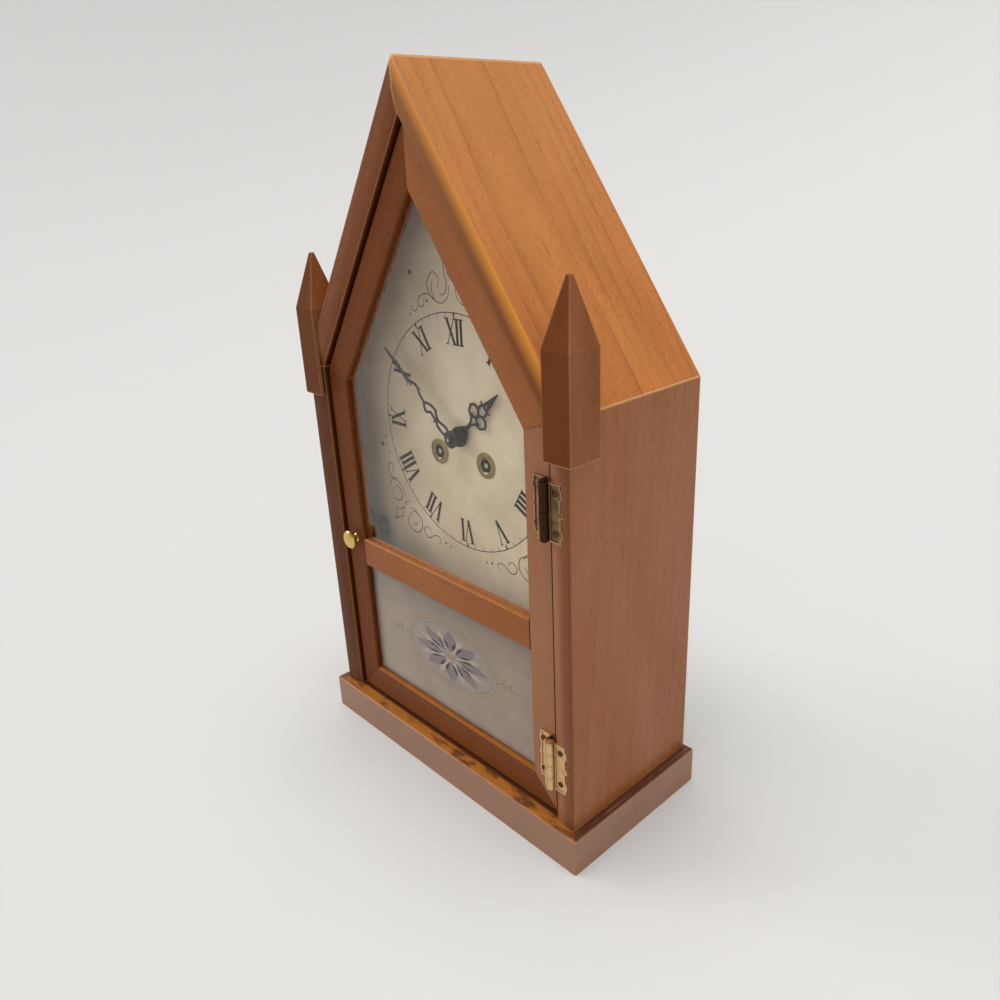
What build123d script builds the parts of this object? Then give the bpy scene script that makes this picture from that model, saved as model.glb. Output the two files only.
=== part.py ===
from build123d import *
import math
import os

# Steeple clock: a house-shaped case with two corner spires, an inset glazed door on
# two ornamental hinges, a printed dial and a two-barrel pendulum movement.
# Millimetres. X runs to the viewer's right, Y to the back, Z up.
# The origin is the centre of the underside of the plinth.

# Plinth
plinth_width = 280.0
plinth_depth = 132.0
plinth_height = 28.0
plinth_round = 1.6
ledge_front = 6.5
ledge_side = 7.5

# Case boards
total_height = 500.0
eave_height = 311.5
board_thickness = 17.5
arris_round = 3.0
crown_flat = 4.5
crown_drop = 2.7
back_board_thickness = 3.0
mitre_overrun = 6.0
overrun = 1.0

# Spires on the front corners
spire_outer_offset = 3.6
spire_front_offset = 2.2
spire_width = 21.3
spire_depth = 25.0
spire_foot = 284.6
spire_shoulder = 348.2
spire_tip = 386.6
spire_tip_width = 3.0
spire_round = 0.7

# Door
door_setback = 5.5
door_thickness = 15.0
door_side_gap = 1.5
door_roof_gap = 2.2
door_foot_gap = 1.2
frame_width = 22.0
bottom_rail_width = 23.5
mid_rail_foot = 148.4
mid_rail_width = 22.7
frame_bevel = 0.9
frame_edge_round = 0.8
lip_depth = 2.5
rebate_width = 6.0
glass_thickness = 2.5
glass_clearance = 0.4
bead_clearance = 0.2
bead_inset = 1.0
bead_depth = 5.0

# Door knob
knob_radius = 7.4
knob_stem_radius = 2.6
knob_stem_length = 4.0
knob_head_thickness = 3.6
knob_dome = 1.0
knob_drop = 1.4

# Front hinges
hinge_height = 37.0
hinge_below_spire = 11.8
hinge_above_plinth = 27.5
hinge_barrel_radius = 2.9
hinge_pin_radius = 1.2
hinge_bore_clearance = 0.06
hinge_knuckle_gap = 0.3
hinge_knuckles = 4
hinge_axis_inset = 1.0
hinge_axis_proud = 1.5
hinge_leaf_thickness = 1.0
hinge_leaf_relief = 0.4
hinge_leaf_seat = 0.8
hinge_seat_clearance = 0.2
hinge_rim_width = 1.1
hinge_rim_height = 0.5
hinge_screw_spread = 12.4
hinge_case_screw_reach = 8.0
hinge_door_screw_reach = 11.0
hinge_door_leaf_share = 0.62
hinge_lobe_radius = 5.9
hinge_waist_reach = 4.3
hinge_cusp_radius = 2.2
hinge_cusp_reach = 4.1
hinge_riser_reach = 4.5
hinge_pin_head_radius = 1.8
hinge_pin_head_height = 0.9
screw_head_radius = 2.1
screw_head_height = 1.1
screw_shank_radius = 0.9
screw_shank_length = 9.0
screw_fit = 0.05

# Catch on the latch side
catch_below_rail_top = 4.0
catch_width = 21.0
catch_tall = 13.0
catch_depth = 11.0
catch_gap = 0.4
catch_bracket_thickness = 1.4
catch_plate_thickness = 1.0

# Dial
dial_face_setback = 36.5
dial_plate_thickness = 0.8
dial_board_thickness = 5.0
dial_fit = 0.5
dial_foot = 150.0
dial_centre_height = 267.1
dial_hand_hole_radius = 4.6
cleat_width = 24.0
cleat_depth = 9.0
cleat_foot = 196.0
cleat_apex_gap = 8.0
dial_screw_inset = 19.2
dial_screw_drop = 25.3
dial_screw_below_peak = 94.8
dial_screw_head_radius = 1.7
dial_screw_head_height = 0.7

# Winding holes
winding_spacing = 48.8
winding_drop = 16.0
grommet_radius = 9.3
grommet_bore = 4.7
grommet_flange = 0.9
grommet_bead = 1.2
grommet_tube_wall = 1.3
grommet_crown = 0.3
grommet_fit = 0.1

# Movement plates
front_plate_setback = 53.5
plate_thickness = 1.6
plate_gap = 37.4
plate_half_width = 48.0
plate_drop = 42.0
plate_rise = 68.0
plate_corner = 4.0
pillar_inset = 6.0
pillar_radius = 3.0
pivot_clearance = 0.06
end_shake = 0.25

# Gear cutting: shares of the module and of the angle between two teeth
wheel_addendum_share = 0.9
wheel_dedendum_share = 1.25
pinion_addendum_share = 0.7
pinion_dedendum_share = 1.35
wheel_tooth_shares = (0.26, 0.215, 0.17, 0.07)
pinion_tooth_shares = (0.15, 0.165, 0.13, 0.06)
tooth_belly_share = 0.6
mesh_slack = 0.06

# Going train and strike train
barrel_teeth = 72
barrel_pinion_teeth = 12
barrel_module = 0.55
second_teeth = 60
centre_pinion_teeth = 15
centre_teeth = 80
third_pinion_teeth = 8
centre_module = 0.45
third_teeth = 80
escape_pinion_teeth = 8
third_module = 0.42
escape_teeth = 42
escape_radius = 9.5
escape_tooth_height = 1.2
escape_rim_width = 1.2
escape_spoke_width = 1.0
escape_spokes = 4
escape_thickness = 0.8
strike_pinion_teeth = 10
strike_module = 0.55
pin_wheel_teeth = 56
warning_pinion_teeth = 8
pin_wheel_module = 0.5
warning_teeth = 48
fly_pinion_teeth = 8
warning_module = 0.4
pin_wheel_angle = 107.0
warning_angle = 79.0
fly_angle = 127.0

barrel_drum_radius = 18.2
barrel_drum_length = 22.0
winding_arbor_radius = 2.6
winding_square = 3.4
winding_pivot_radius = 1.9
ratchet_radius = 6.6
ratchet_thickness = 1.2
ratchet_teeth = 16
ratchet_tooth_share = 0.84
arbor_radius = 1.3
pivot_radius = 0.8
wheel_thickness = 1.4
pinion_length = 3.2
hub_radius = 2.2
barrel_bore_clearance = 0.08
pin_count = 8
pin_radius = 0.7
pin_length = 2.4
pin_circle_share = 0.8
fly_half_width = 8.5
fly_length = 12.0
fly_thickness = 0.5

# Layers of the wheels, measured back from the front plate's inner face
barrel_layer = 1.0
second_layer = 28.4
strike_second_layer = 25.0
centre_layer = 32.2
third_layer = 10.4
escape_layer = 18.4
pin_wheel_layer = 21.0
warning_layer = 14.4
fly_layer = 3.0

# Motion work in front of the front plate
cannon_teeth = 12
minute_wheel_teeth = 36
minute_pinion_teeth = 10
hour_wheel_teeth = 40
motion_module = 0.6
motion_angle = 135.0
cannon_radius = 2.0
cannon_bore_clearance = 0.05
hour_pipe_radius = 3.2
hour_pipe_clearance = 0.06
centre_arbor_radius = 1.2
motion_shake = 0.4
motion_wheel_thickness = 1.2
minute_pinion_length = 3.4

# Hands, at eight minutes to two. A hand's places are shares of its length,
# first along it and then across it, with the side that turns ahead positive.
minute_angle = -50.6
hour_angle = 48.5
minute_length = 87.0
hour_length = 55.0
hand_thickness = 0.7
minute_boss_radius = 6.3
minute_collet_length = 3.0
hour_boss_radius = 7.2
hour_collet_length = 2.4
hour_collet_radius = 6.4
hour_hand_clearance = 0.4
hand_gap = 7.0
hand_nut_radius = 3.0
hand_nut_height = 2.2
minute_stroke_width = 1.7
hour_stroke_width = 1.6
stroke_steps = 4
hour_ball_radius = 1.5
hour_eye_radius = 0.9
minute_stroke_shares = (
    ((0.05, 0.025), (0.13, 0.028), (0.2, 0.014), (0.236, 0.037), (0.264, 0.056), (0.305, 0.053),
     (0.345, 0.037), (0.39, 0.007)),
    ((0.05, -0.025), (0.13, -0.035), (0.172, -0.03), (0.209, -0.007), (0.247, -0.007),
     (0.285, -0.002), (0.306, -0.014), (0.32, -0.037), (0.345, -0.04), (0.375, -0.023),
     (0.397, 0.002)),
    ((0.385, 0.002), (0.437, 0.009), (0.477, 0.018), (0.511, 0.039), (0.549, 0.041),
     (0.592, 0.025), (0.64, 0.006)),
)
minute_barb_shares = (
    (0.215, -0.012, 0.214, -0.047),
    (0.26, 0.053, 0.246, 0.075),
    (0.51, 0.037, 0.483, 0.058),
    (0.606, 0.017, 0.583, -0.016),
)
minute_blade_shares = (
    (0.603, -0.003), (0.655, -0.015), (0.8, -0.018), (0.874, -0.013), (1.0, -0.005),
    (1.0, 0.005), (0.874, 0.014), (0.816, 0.018), (0.793, 0.027), (0.76, 0.016), (0.655, 0.016),
    (0.603, 0.018),
)
hour_ring_shares = (
    (0.418, 0.08), (0.416, 0.122), (0.464, 0.16), (0.517, 0.169), (0.56, 0.135),
    (0.571, 0.077), (0.539, 0.022), (0.473, 0.008), (0.43, 0.038), (0.418, 0.08),
)
hour_bend_shares = ((0.2, 0.012), (0.3, 0.012), (0.356, 0.027), (0.393, 0.058), (0.415, 0.084))
hour_loop_shares = ((0.527, 0.006), (0.573, 0.054), (0.618, 0.069), (0.664, 0.06), (0.68, 0.0))
hour_barb_shares = ((0.511, 0.166, 0.494, 0.198), (0.67, 0.056, 0.698, 0.107))
hour_blade_shares = ((0.675, -0.062), (1.0, -0.006), (1.0, 0.006), (0.675, 0.062))
hour_window_shares = ((0.702, -0.034), (0.75, 0.0), (0.702, 0.034))
hour_collar_shares = ((0.1, -0.1), (0.19, -0.05), (0.235, 0.0), (0.19, 0.05), (0.1, 0.1))
hour_eye_share = 0.175

# Pendulum, anchor and suspension
verge_rise_share = 1.5
anchor_half_span = 6.2
anchor_thickness = 2.0
anchor_arm_width = 3.0
anchor_tip_clearance = 0.6
crutch_length = 34.0
crutch_width = 2.4
crutch_thickness = 1.2
crutch_fork_gap = 0.35
crutch_fork_width = 1.4
pendulum_length = 183.0
pendulum_rod_radius = 1.1
pendulum_standoff = 5.0
pendulum_swing = 4.0
bob_radius = 19.0
bob_thickness = 7.0
rating_nut_radius = 3.4
rating_nut_height = 4.0
rod_overhang = 6.0
cock_width = 12.0
cock_height = 7.0
cock_thickness = 2.0
cock_slot_gap = 0.3
suspension_width = 5.0
suspension_thickness = 0.5
suspension_length = 9.0

# Strike hammer and rods
hammer_reach = 16.5
hammer_arm_length = 40.0
hammer_arm_width = 2.6
hammer_arm_thickness = 1.4
hammer_standoff = 7.0
hammer_head_radius = 4.2
hammer_head_length = 12.0
hammer_rod_gap = 0.8
hammer_tail = 4.2
rod_radius = 1.5
rod_pitch = 7.0
rod_block_width = 22.0
rod_block_depth = 22.0
rod_block_height = 18.0
rod_fit = 0.03
rod_over_hammer = 5.0

# Back door
back_door_overlap = 5.0
back_door_foot_gap = 1.0
back_door_top = 299.0
back_gable_gap = 1.0
back_margin = 4.0
vent_slots = 5
vent_slot_length = 44.0
vent_slot_height = 3.4
vent_pitch = 10.0
vent_rise = 42.0
back_hinge_height = 30.0
back_hinge_rise = 50.0
back_hinge_barrel_radius = 1.8
back_hinge_pin_radius = 0.8
back_hinge_knuckles = 3
back_hinge_leaf_width = 9.0
back_hinge_leaf_thickness = 1.0
back_hinge_gap = 0.4
back_knob_radius = 7.0
back_knob_length = 12.0
back_knob_inset = 14.0

# Derived places
half_plinth = plinth_width / 2
plinth_front = -plinth_depth / 2
plinth_back = plinth_depth / 2
half_case = half_plinth - ledge_side
half_room = half_case - board_thickness
case_front = plinth_front + ledge_front
hinge_upper_height = spire_foot - hinge_below_spire - hinge_height / 2
hinge_lower_height = plinth_height + hinge_above_plinth + hinge_height / 2
case_back = plinth_back - back_board_thickness
roof_tan = (total_height - eave_height) / half_case
roof_angle = math.atan(roof_tan)
roof_cos = math.cos(roof_angle)
roof_sin = math.sin(roof_angle)
room_peak = total_height - board_thickness / roof_cos
half_door = half_room - door_side_gap
door_foot = plinth_height + door_foot_gap
door_peak = room_peak - door_roof_gap / roof_cos
half_opening = half_door - frame_width
opening_peak = door_peak - frame_width / roof_cos
mid_rail_top = mid_rail_foot + mid_rail_width
bottom_rail_top = door_foot + bottom_rail_width
door_front = case_front + door_setback
door_back = door_front + door_thickness
glass_front = door_front + frame_bevel + lip_depth
glass_back = glass_front + glass_thickness
hinge_x = half_room - hinge_axis_inset
hinge_y = case_front - hinge_axis_proud
case_leaf_back = case_front + hinge_leaf_seat
dial_front = case_front + dial_face_setback
dial_back = dial_front + dial_plate_thickness
dial_board_back = dial_back + dial_board_thickness
half_winding = winding_spacing / 2
front_plate_front = case_front + front_plate_setback
inside_front = front_plate_front + plate_thickness
inside_back = inside_front + plate_gap
back_plate_back = inside_back + plate_thickness
centre = (0.0, dial_centre_height)


# Basic solids

def prism_y(points, front, back):
    """Straight prism along Y over an outline of (x, z) points."""
    outline = Polyline(*[(x, front, z) for x, z in points], close=True)
    return extrude(make_face(outline), amount=back - front, dir=(0, 1, 0))


def block(x0, x1, y0, y1, z0, z1):
    """Box between three pairs of coordinates."""
    place = Pos((x0 + x1) / 2, (y0 + y1) / 2, (z0 + z1) / 2)
    return place * Box(x1 - x0, y1 - y0, z1 - z0)


def rod_y(place, radius, front, back):
    """Cylinder along Y at an (x, z) place."""
    body = Cylinder(radius, back - front)
    return Pos(place[0], (front + back) / 2, place[1]) * Rot(90, 0, 0) * body


def rod_z(x, y, radius, foot, top):
    """Cylinder along Z."""
    return Pos(x, y, (foot + top) / 2) * Cylinder(radius, top - foot)


def turned(place, outline):
    """Solid turned about the Y line through an (x, z) place, from (radius, y) points."""
    points = [(place[0] + radius, y, place[1]) for radius, y in outline]
    face = make_face(Polyline(*points, close=True))
    return revolve(face, Axis((place[0], 0, place[1]), (0, 1, 0)), 360)


def mirrored(shape):
    """The same piece on the other side of the clock."""
    return mirror(shape, about=Plane.YZ)


def house(half, foot, peak):
    """Outline of a gabled shape whose roof has the clock's pitch."""
    eave = peak - half * roof_tan
    return [(-half, foot), (half, foot), (half, eave), (0, peak), (-half, eave)]


def polar(start, distance, degrees):
    """Place at a distance and direction from another, in the dial's plane."""
    turn = math.radians(degrees)
    return (start[0] + distance * math.cos(turn), start[1] + distance * math.sin(turn))


def save(shape, name):
    """Write one piece."""
    export_step(shape, f"parts/{name}.step")


# Case

def board_section():
    """Section of a case board: u across its thickness from the room, v along Y.

    The front has a tight outer arris, a narrow flat and a long curve that falls
    back towards the door."""
    front = case_front
    flat_start = board_thickness - arris_round
    curve_start = flat_start - crown_flat
    reach = math.hypot(curve_start, crown_drop)
    curve_radius = reach * reach / (2 * crown_drop)
    curve_turn = math.asin(curve_start / curve_radius) / 2
    curve_middle = (
        curve_start - curve_radius * math.sin(curve_turn),
        front + curve_radius * (1 - math.cos(curve_turn)),
    )
    arris_middle = (
        flat_start + arris_round * math.sin(math.pi / 4),
        front + arris_round * (1 - math.cos(math.pi / 4)),
    )
    edges = [
        Line((0, case_back), (board_thickness, case_back)),
        Line((board_thickness, case_back), (board_thickness, front + arris_round)),
        ThreePointArc((board_thickness, front + arris_round), arris_middle, (flat_start, front)),
        Line((flat_start, front), (curve_start, front)),
        ThreePointArc((curve_start, front), curve_middle, (0, front + crown_drop)),
        Line((0, front + crown_drop), (0, case_back)),
    ]
    return make_face(edges)


def along(section, origin, across, lengthwise, before, after):
    """Run a section along a direction, from before the origin to after it."""
    start = Vector(*origin) - Vector(*lengthwise) * before
    plane = Plane(origin=start, x_dir=across, z_dir=lengthwise)
    return extrude(plane * section, amount=before + after)


def stretched(inner, outer):
    """The two ends of a mitre line, carried past the board's faces."""
    dx = outer[0] - inner[0]
    dz = outer[1] - inner[1]
    size = math.hypot(dx, dz)
    step = mitre_overrun / size
    return (
        (inner[0] - dx * step, inner[1] - dz * step),
        (outer[0] + dx * step, outer[1] + dz * step),
    )


def side_board(holes):
    """Right side board, cut to the mitre at the eave."""
    inner_eave = (half_room, room_peak - half_room * roof_tan)
    outer_eave = (half_case, eave_height)
    inner_end, outer_end = stretched(inner_eave, outer_eave)
    region = [
        (inner_end[0], plinth_height),
        (outer_end[0], plinth_height),
        outer_end,
        inner_end,
    ]
    stock = along(
        board_section(), (half_room, 0, plinth_height), (1, 0, 0), (0, 0, 1), 0, eave_height
    )
    board = stock & prism_y(region, case_front - overrun, case_back + overrun)
    return board - holes


def roof_board():
    """Right roof board, mitred at the eave and the ridge."""
    inner_eave = (half_room, room_peak - half_room * roof_tan)
    outer_eave = (half_case, eave_height)
    inner_end, outer_end = stretched(inner_eave, outer_eave)
    region = [
        inner_end,
        outer_end,
        (0, total_height + mitre_overrun),
        (0, room_peak - mitre_overrun),
    ]
    length = (half_case + board_thickness) / roof_cos
    stock = along(
        board_section(),
        (inner_eave[0], 0, inner_eave[1]),
        (roof_sin, 0, roof_cos),
        (-roof_cos, 0, roof_sin),
        board_thickness,
        length,
    )
    return stock & prism_y(region, case_front - overrun, case_back + overrun)


def plinth():
    """Solid plinth board with softened top and upright edges."""
    body = block(-half_plinth, half_plinth, plinth_front, plinth_back, 0, plinth_height)
    top = body.edges().filter_by_position(Axis.Z, plinth_height, plinth_height)
    upright = body.edges().filter_by(Axis.Z)
    return fillet(list(top) + list(upright), plinth_round)


def spire():
    """Right spire: a square post with a pyramid top, notched over the case corner."""
    outer = half_case + spire_outer_offset
    inner = outer - spire_width
    front = case_front - spire_front_offset
    back = front + spire_depth
    middle = ((inner + outer) / 2, (front + back) / 2)
    post = block(inner, outer, front, back, spire_foot, spire_shoulder)
    post = fillet(post.edges().filter_by(Axis.Z), spire_round)
    lower = Plane(origin=(middle[0], middle[1], spire_shoulder)) * RectangleRounded(
        spire_width, spire_depth, spire_round
    )
    upper = Plane(origin=(middle[0], middle[1], spire_tip)) * RectangleRounded(
        spire_tip_width, spire_tip_width, spire_round
    )
    post = post + loft([lower, upper])
    notch = prism_y(house(half_case, 0, total_height), case_front, case_back)
    return post - notch


def cleats():
    """Two bent battens inside the case that the dial board is screwed against."""
    outer = prism_y(house(half_room, cleat_foot, room_peak), dial_board_back,
                    dial_board_back + cleat_depth)
    inner = prism_y(
        house(half_room - cleat_width, cleat_foot - overrun, room_peak - cleat_width / roof_cos),
        dial_board_back - overrun,
        dial_board_back + cleat_depth + overrun,
    )
    right_half = block(cleat_apex_gap, half_case, dial_board_back - overrun,
                       dial_board_back + cleat_depth + overrun, 0, total_height)
    right = (outer - inner) & right_half
    return right


# Door

def frame_section(width):
    """Section of a door member: u from its inner edge outwards, v along Y."""
    lip = door_front + frame_bevel
    points = [
        (0, lip),
        (frame_bevel, door_front),
        (width - frame_edge_round, door_front),
        (width, door_front + frame_edge_round),
        (width, door_back),
        (rebate_width, door_back),
        (rebate_width, glass_front),
        (0, glass_front),
    ]
    return make_face(Polyline(*points, close=True))


def door_stile(holes):
    """Right stile, mitred at the foot and at the shoulder."""
    foot = stretched((half_opening, bottom_rail_top), (half_door, door_foot))
    shoulder = stretched(
        (half_opening, opening_peak - half_opening * roof_tan),
        (half_door, door_peak - half_door * roof_tan),
    )
    region = [foot[0], foot[1], shoulder[1], shoulder[0]]
    stock = along(
        frame_section(frame_width), (half_opening, 0, 0), (1, 0, 0), (0, 0, 1), 0, total_height
    )
    return (stock & prism_y(region, door_front - overrun, door_back + overrun)) - holes


def door_rafter():
    """Right rafter, mitred at the shoulder and the peak."""
    start = (half_opening, opening_peak - half_opening * roof_tan)
    shoulder = stretched(start, (half_door, door_peak - half_door * roof_tan))
    region = [
        shoulder[0],
        shoulder[1],
        (0, door_peak + mitre_overrun),
        (0, opening_peak - mitre_overrun),
    ]
    stock = along(
        frame_section(frame_width),
        (start[0], 0, start[1]),
        (roof_sin, 0, roof_cos),
        (-roof_cos, 0, roof_sin),
        frame_width,
        (half_door + frame_width) / roof_cos,
    )
    return stock & prism_y(region, door_front - overrun, door_back + overrun)


def door_bottom_rail():
    """Bottom rail between the two mitres."""
    right = stretched((half_opening, bottom_rail_top), (half_door, door_foot))
    region = [
        (-right[1][0], right[1][1]),
        right[1],
        right[0],
        (-right[0][0], right[0][1]),
    ]
    stock = along(
        frame_section(bottom_rail_width), (0, 0, bottom_rail_top), (0, 0, -1), (1, 0, 0),
        half_door, half_door,
    )
    return stock & prism_y(region, door_front - overrun, door_back + overrun)


def door_mid_rail():
    """Middle rail: bevelled front between the stiles, tongues in their rebates."""
    low = mid_rail_foot
    high = mid_rail_top
    front = Polyline(
        (half_opening, door_front, low + frame_bevel),
        (half_opening, door_front, high - frame_bevel),
        (half_opening, door_front + frame_bevel, high),
        (half_opening, glass_front, high),
        (half_opening, glass_front, low),
        (half_opening, door_front + frame_bevel, low),
        close=True,
    )
    face = extrude(make_face(front), amount=2 * half_opening, dir=(-1, 0, 0))
    reach = half_opening + rebate_width
    tongue = block(-reach, reach, glass_front, door_back, low + rebate_width, high - rebate_width)
    return face + tongue


def upper_opening(grow):
    """Outline of the upper light, grown outwards all round."""
    return house(half_opening + grow, mid_rail_top - grow, opening_peak + grow / roof_cos)


def lower_opening(grow):
    """Outline of the lower light, grown outwards all round."""
    half = half_opening + grow
    low = bottom_rail_top - grow
    high = mid_rail_foot + grow
    return [(-half, low), (half, low), (half, high), (-half, high)]


def beads(outline):
    """Mitred glazing beads round one light, each a separate strip."""
    outer = outline(rebate_width - bead_clearance)
    inner = outline(bead_inset)
    strips = []
    for i in range(len(outer)):
        j = (i + 1) % len(outer)
        strips.append(
            prism_y([outer[i], outer[j], inner[j], inner[i]], glass_back, glass_back + bead_depth)
        )
    return strips


def door_knob():
    """Turned knob on the latch stile, beside the middle rail."""
    place = (-(half_door - frame_width / 2), mid_rail_top - knob_drop)
    neck = door_front - knob_stem_length
    face = neck - knob_head_thickness
    return turned(place, [
        (0, door_front),
        (knob_stem_radius + knob_dome, door_front),
        (knob_stem_radius, door_front - knob_dome),
        (knob_stem_radius, neck),
        (knob_radius - knob_dome, neck - knob_dome),
        (knob_radius, neck - 2 * knob_dome),
        (knob_radius, face + knob_dome),
        (knob_radius - knob_dome, face),
        (0, face - knob_dome / 2),
    ])


# Front hinges

def knuckle_span(height, count, middle, index, gap):
    """Lowest and highest height of one knuckle."""
    size = height / count
    low = middle - height / 2 + index * size
    return low + gap / 2, low + size - gap / 2


def leaf_face(side, root, screw_reach, middle, share):
    """Face of an ornamental leaf: a plate with a round lobe at each screw and a small
    cusp between them, cut off straight at its root. Its lobes are a share of the full size."""
    half = hinge_height / 2
    waist = hinge_x + side * (screw_reach + share * hinge_waist_reach)
    face = Pos((root + waist) / 2, middle) * Rectangle(abs(waist - root), 2 * half)
    lobe_x = hinge_x + side * screw_reach
    for step in (-1, 1):
        place = Pos(lobe_x, middle + step * hinge_screw_spread)
        face = face + place * Circle(share * hinge_lobe_radius)
    cusp = Circle(share * hinge_cusp_radius)
    face = face + Pos(lobe_x + side * share * hinge_cusp_reach, middle) * cusp
    span = plinth_width / 2
    return face & Pos(root + side * span / 2, middle) * Rectangle(span, 2 * half)


def facing(depth):
    """Plane across the clock at a depth, seen from the front."""
    return Plane(origin=(0, depth, 0), x_dir=(1, 0, 0), z_dir=(0, -1, 0))


def leaf_plate(face, back, screw_x, middle):
    """Leaf with a raised rim and its two screw holes."""
    front = back - hinge_leaf_thickness
    plate = extrude(facing(back) * face, amount=hinge_leaf_thickness)
    rim = face - offset(face, -hinge_rim_width)
    plate = plate + extrude(facing(front) * rim, amount=hinge_rim_height)
    for step in (-1, 1):
        place = (screw_x, middle + step * hinge_screw_spread)
        plate = plate - rod_y(place, screw_shank_radius + screw_fit, front - overrun,
                              back + overrun)
    return plate


def case_leaf_face(middle):
    """Face of the leaf on the side board."""
    root = hinge_x + hinge_barrel_radius + hinge_leaf_relief
    return leaf_face(1, root, hinge_case_screw_reach, middle, 1)


def case_leaf_seat():
    """Shallow seats for the leaves, let into the crowned front of the board."""
    cuts = [
        extrude(facing(case_leaf_back) * offset(case_leaf_face(middle), hinge_seat_clearance),
                amount=hinge_leaf_seat + overrun)
        for middle in (hinge_upper_height, hinge_lower_height)
    ]
    return cuts[0] + cuts[1]


def hinge_case_leaf(middle):
    """Leaf on the side board's front, with every second knuckle."""
    relief = hinge_barrel_radius + hinge_leaf_relief
    front = case_leaf_back - hinge_leaf_thickness
    leaf = leaf_plate(case_leaf_face(middle), case_leaf_back, hinge_x + hinge_case_screw_reach,
                      middle)
    for index in range(0, hinge_knuckles, 2):
        low, high = knuckle_span(hinge_height, hinge_knuckles, middle, index, hinge_knuckle_gap)
        leaf = leaf + rod_z(hinge_x, hinge_y, hinge_barrel_radius, low, high)
        leaf = leaf + block(hinge_x, hinge_x + relief + hinge_rim_width, front - hinge_rim_height,
                            front + hinge_leaf_thickness / 2, low, high)
    return leaf - hinge_bore(middle)


def hinge_bore(middle):
    """Bore for the pin, through all knuckles."""
    return rod_z(hinge_x, hinge_y, hinge_pin_radius + hinge_bore_clearance,
                 middle - hinge_height, middle + hinge_height)


def hinge_door_leaf(middle):
    """Cranked leaf on the stile, with the other knuckles."""
    root = hinge_x - hinge_riser_reach
    half = hinge_height / 2
    face = leaf_face(-1, root, hinge_door_screw_reach, middle, hinge_door_leaf_share)
    leaf = leaf_plate(face, door_front, hinge_x - hinge_door_screw_reach, middle)
    flange = hinge_y - hinge_leaf_thickness / 2
    leaf = leaf + block(root, root + hinge_leaf_thickness, flange, door_front, middle - half,
                        middle + half)
    for index in range(1, hinge_knuckles, 2):
        low, high = knuckle_span(hinge_height, hinge_knuckles, middle, index, hinge_knuckle_gap)
        leaf = leaf + rod_z(hinge_x, hinge_y, hinge_barrel_radius, low, high)
        leaf = leaf + block(root, hinge_x, flange, flange + hinge_leaf_thickness, low, high)
    return leaf - hinge_bore(middle)


def hinge_pin(middle):
    """Pin through all knuckles, with a low head at each end."""
    half = hinge_height / 2
    pin = rod_z(hinge_x, hinge_y, hinge_pin_radius, middle - half, middle + half)
    for end in (-1, 1):
        near = middle + end * half
        far = near + end * hinge_pin_head_height
        pin = pin + rod_z(hinge_x, hinge_y, hinge_pin_head_radius, min(near, far), max(near, far))
    return pin


def dome_screw(place, surface, thickness, head_radius, head_height, length):
    """Round-headed screw driven along Y; surface is the face under its head."""
    rim = head_height / 3
    return turned(place, [
        (0, surface - head_height),
        (head_radius / 2, surface - head_height + rim / 2),
        (head_radius - rim, surface - rim - rim / 2),
        (head_radius, surface - rim),
        (head_radius, surface),
        (screw_shank_radius, surface),
        (screw_shank_radius, surface + thickness + length),
        (0, surface + thickness + length),
    ])


def hinge_screw_places(side_x):
    """The four screw places of one side of both hinges."""
    return [
        (side_x, middle + step * hinge_screw_spread)
        for middle in (hinge_upper_height, hinge_lower_height)
        for step in (-1, 1)
    ]


def screw_holes(places, surface):
    """Pilot holes that the screws' shanks go into."""
    holes = rod_y(places[0], screw_shank_radius + screw_fit, surface - overrun,
                  surface + screw_shank_length + overrun)
    for place in places[1:]:
        holes = holes + rod_y(place, screw_shank_radius + screw_fit, surface - overrun,
                              surface + screw_shank_length + overrun)
    return holes


# Catch

def magnet_catch():
    """Magnet block on the latch side board, with its bracket flange on the board."""
    low = mid_rail_top - catch_below_rail_top
    front = door_back + catch_plate_thickness + catch_gap
    body = block(-half_room, -half_room + catch_width, front, front + catch_depth, low,
                 low + catch_tall)
    flange = block(-half_room, -half_room + catch_bracket_thickness, front,
                   front + catch_depth, low - catch_tall / 4, low + catch_tall * 5 / 4)
    return body + flange


def catch_plate():
    """Steel strike plate on the back of the latch stile."""
    low = mid_rail_top - catch_below_rail_top
    outer = -half_door + frame_edge_round
    return block(outer, outer + catch_width - catch_bracket_thickness, door_back,
                 door_back + catch_plate_thickness, low, low + catch_tall)


# Dial

def dial_sheet(front, back, holes):
    """House-shaped sheet that fills the case behind the door."""
    sheet = prism_y(
        house(half_room - dial_fit, dial_foot, room_peak - dial_fit / roof_cos), front, back
    )
    return sheet - holes


def dial_holes(front, back, winding_radius):
    """Hand hole, winding holes and screw holes of the dial."""
    holes = rod_y(centre, dial_hand_hole_radius, front - overrun, back + overrun)
    for place in winding_places():
        holes = holes + rod_y(place, winding_radius, front - overrun, back + overrun)
    for place in dial_screw_places():
        holes = holes + rod_y(place, screw_shank_radius + screw_fit, front - overrun,
                              back + overrun)
    return holes


def winding_places():
    """Left (strike) and right (going) winding arbors."""
    height = dial_centre_height - winding_drop
    return [(-half_winding, height), (half_winding, height)]


def dial_screw_places():
    """The four screws that hold the dial and its board to the cleats."""
    low = (half_room - dial_screw_inset, dial_centre_height - dial_screw_drop)
    reach = dial_screw_below_peak / roof_tan - dial_screw_inset / roof_sin
    high = (reach, room_peak - dial_screw_below_peak)
    return [(side * place[0], place[1]) for place in (low, high) for side in (-1, 1)]


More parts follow.
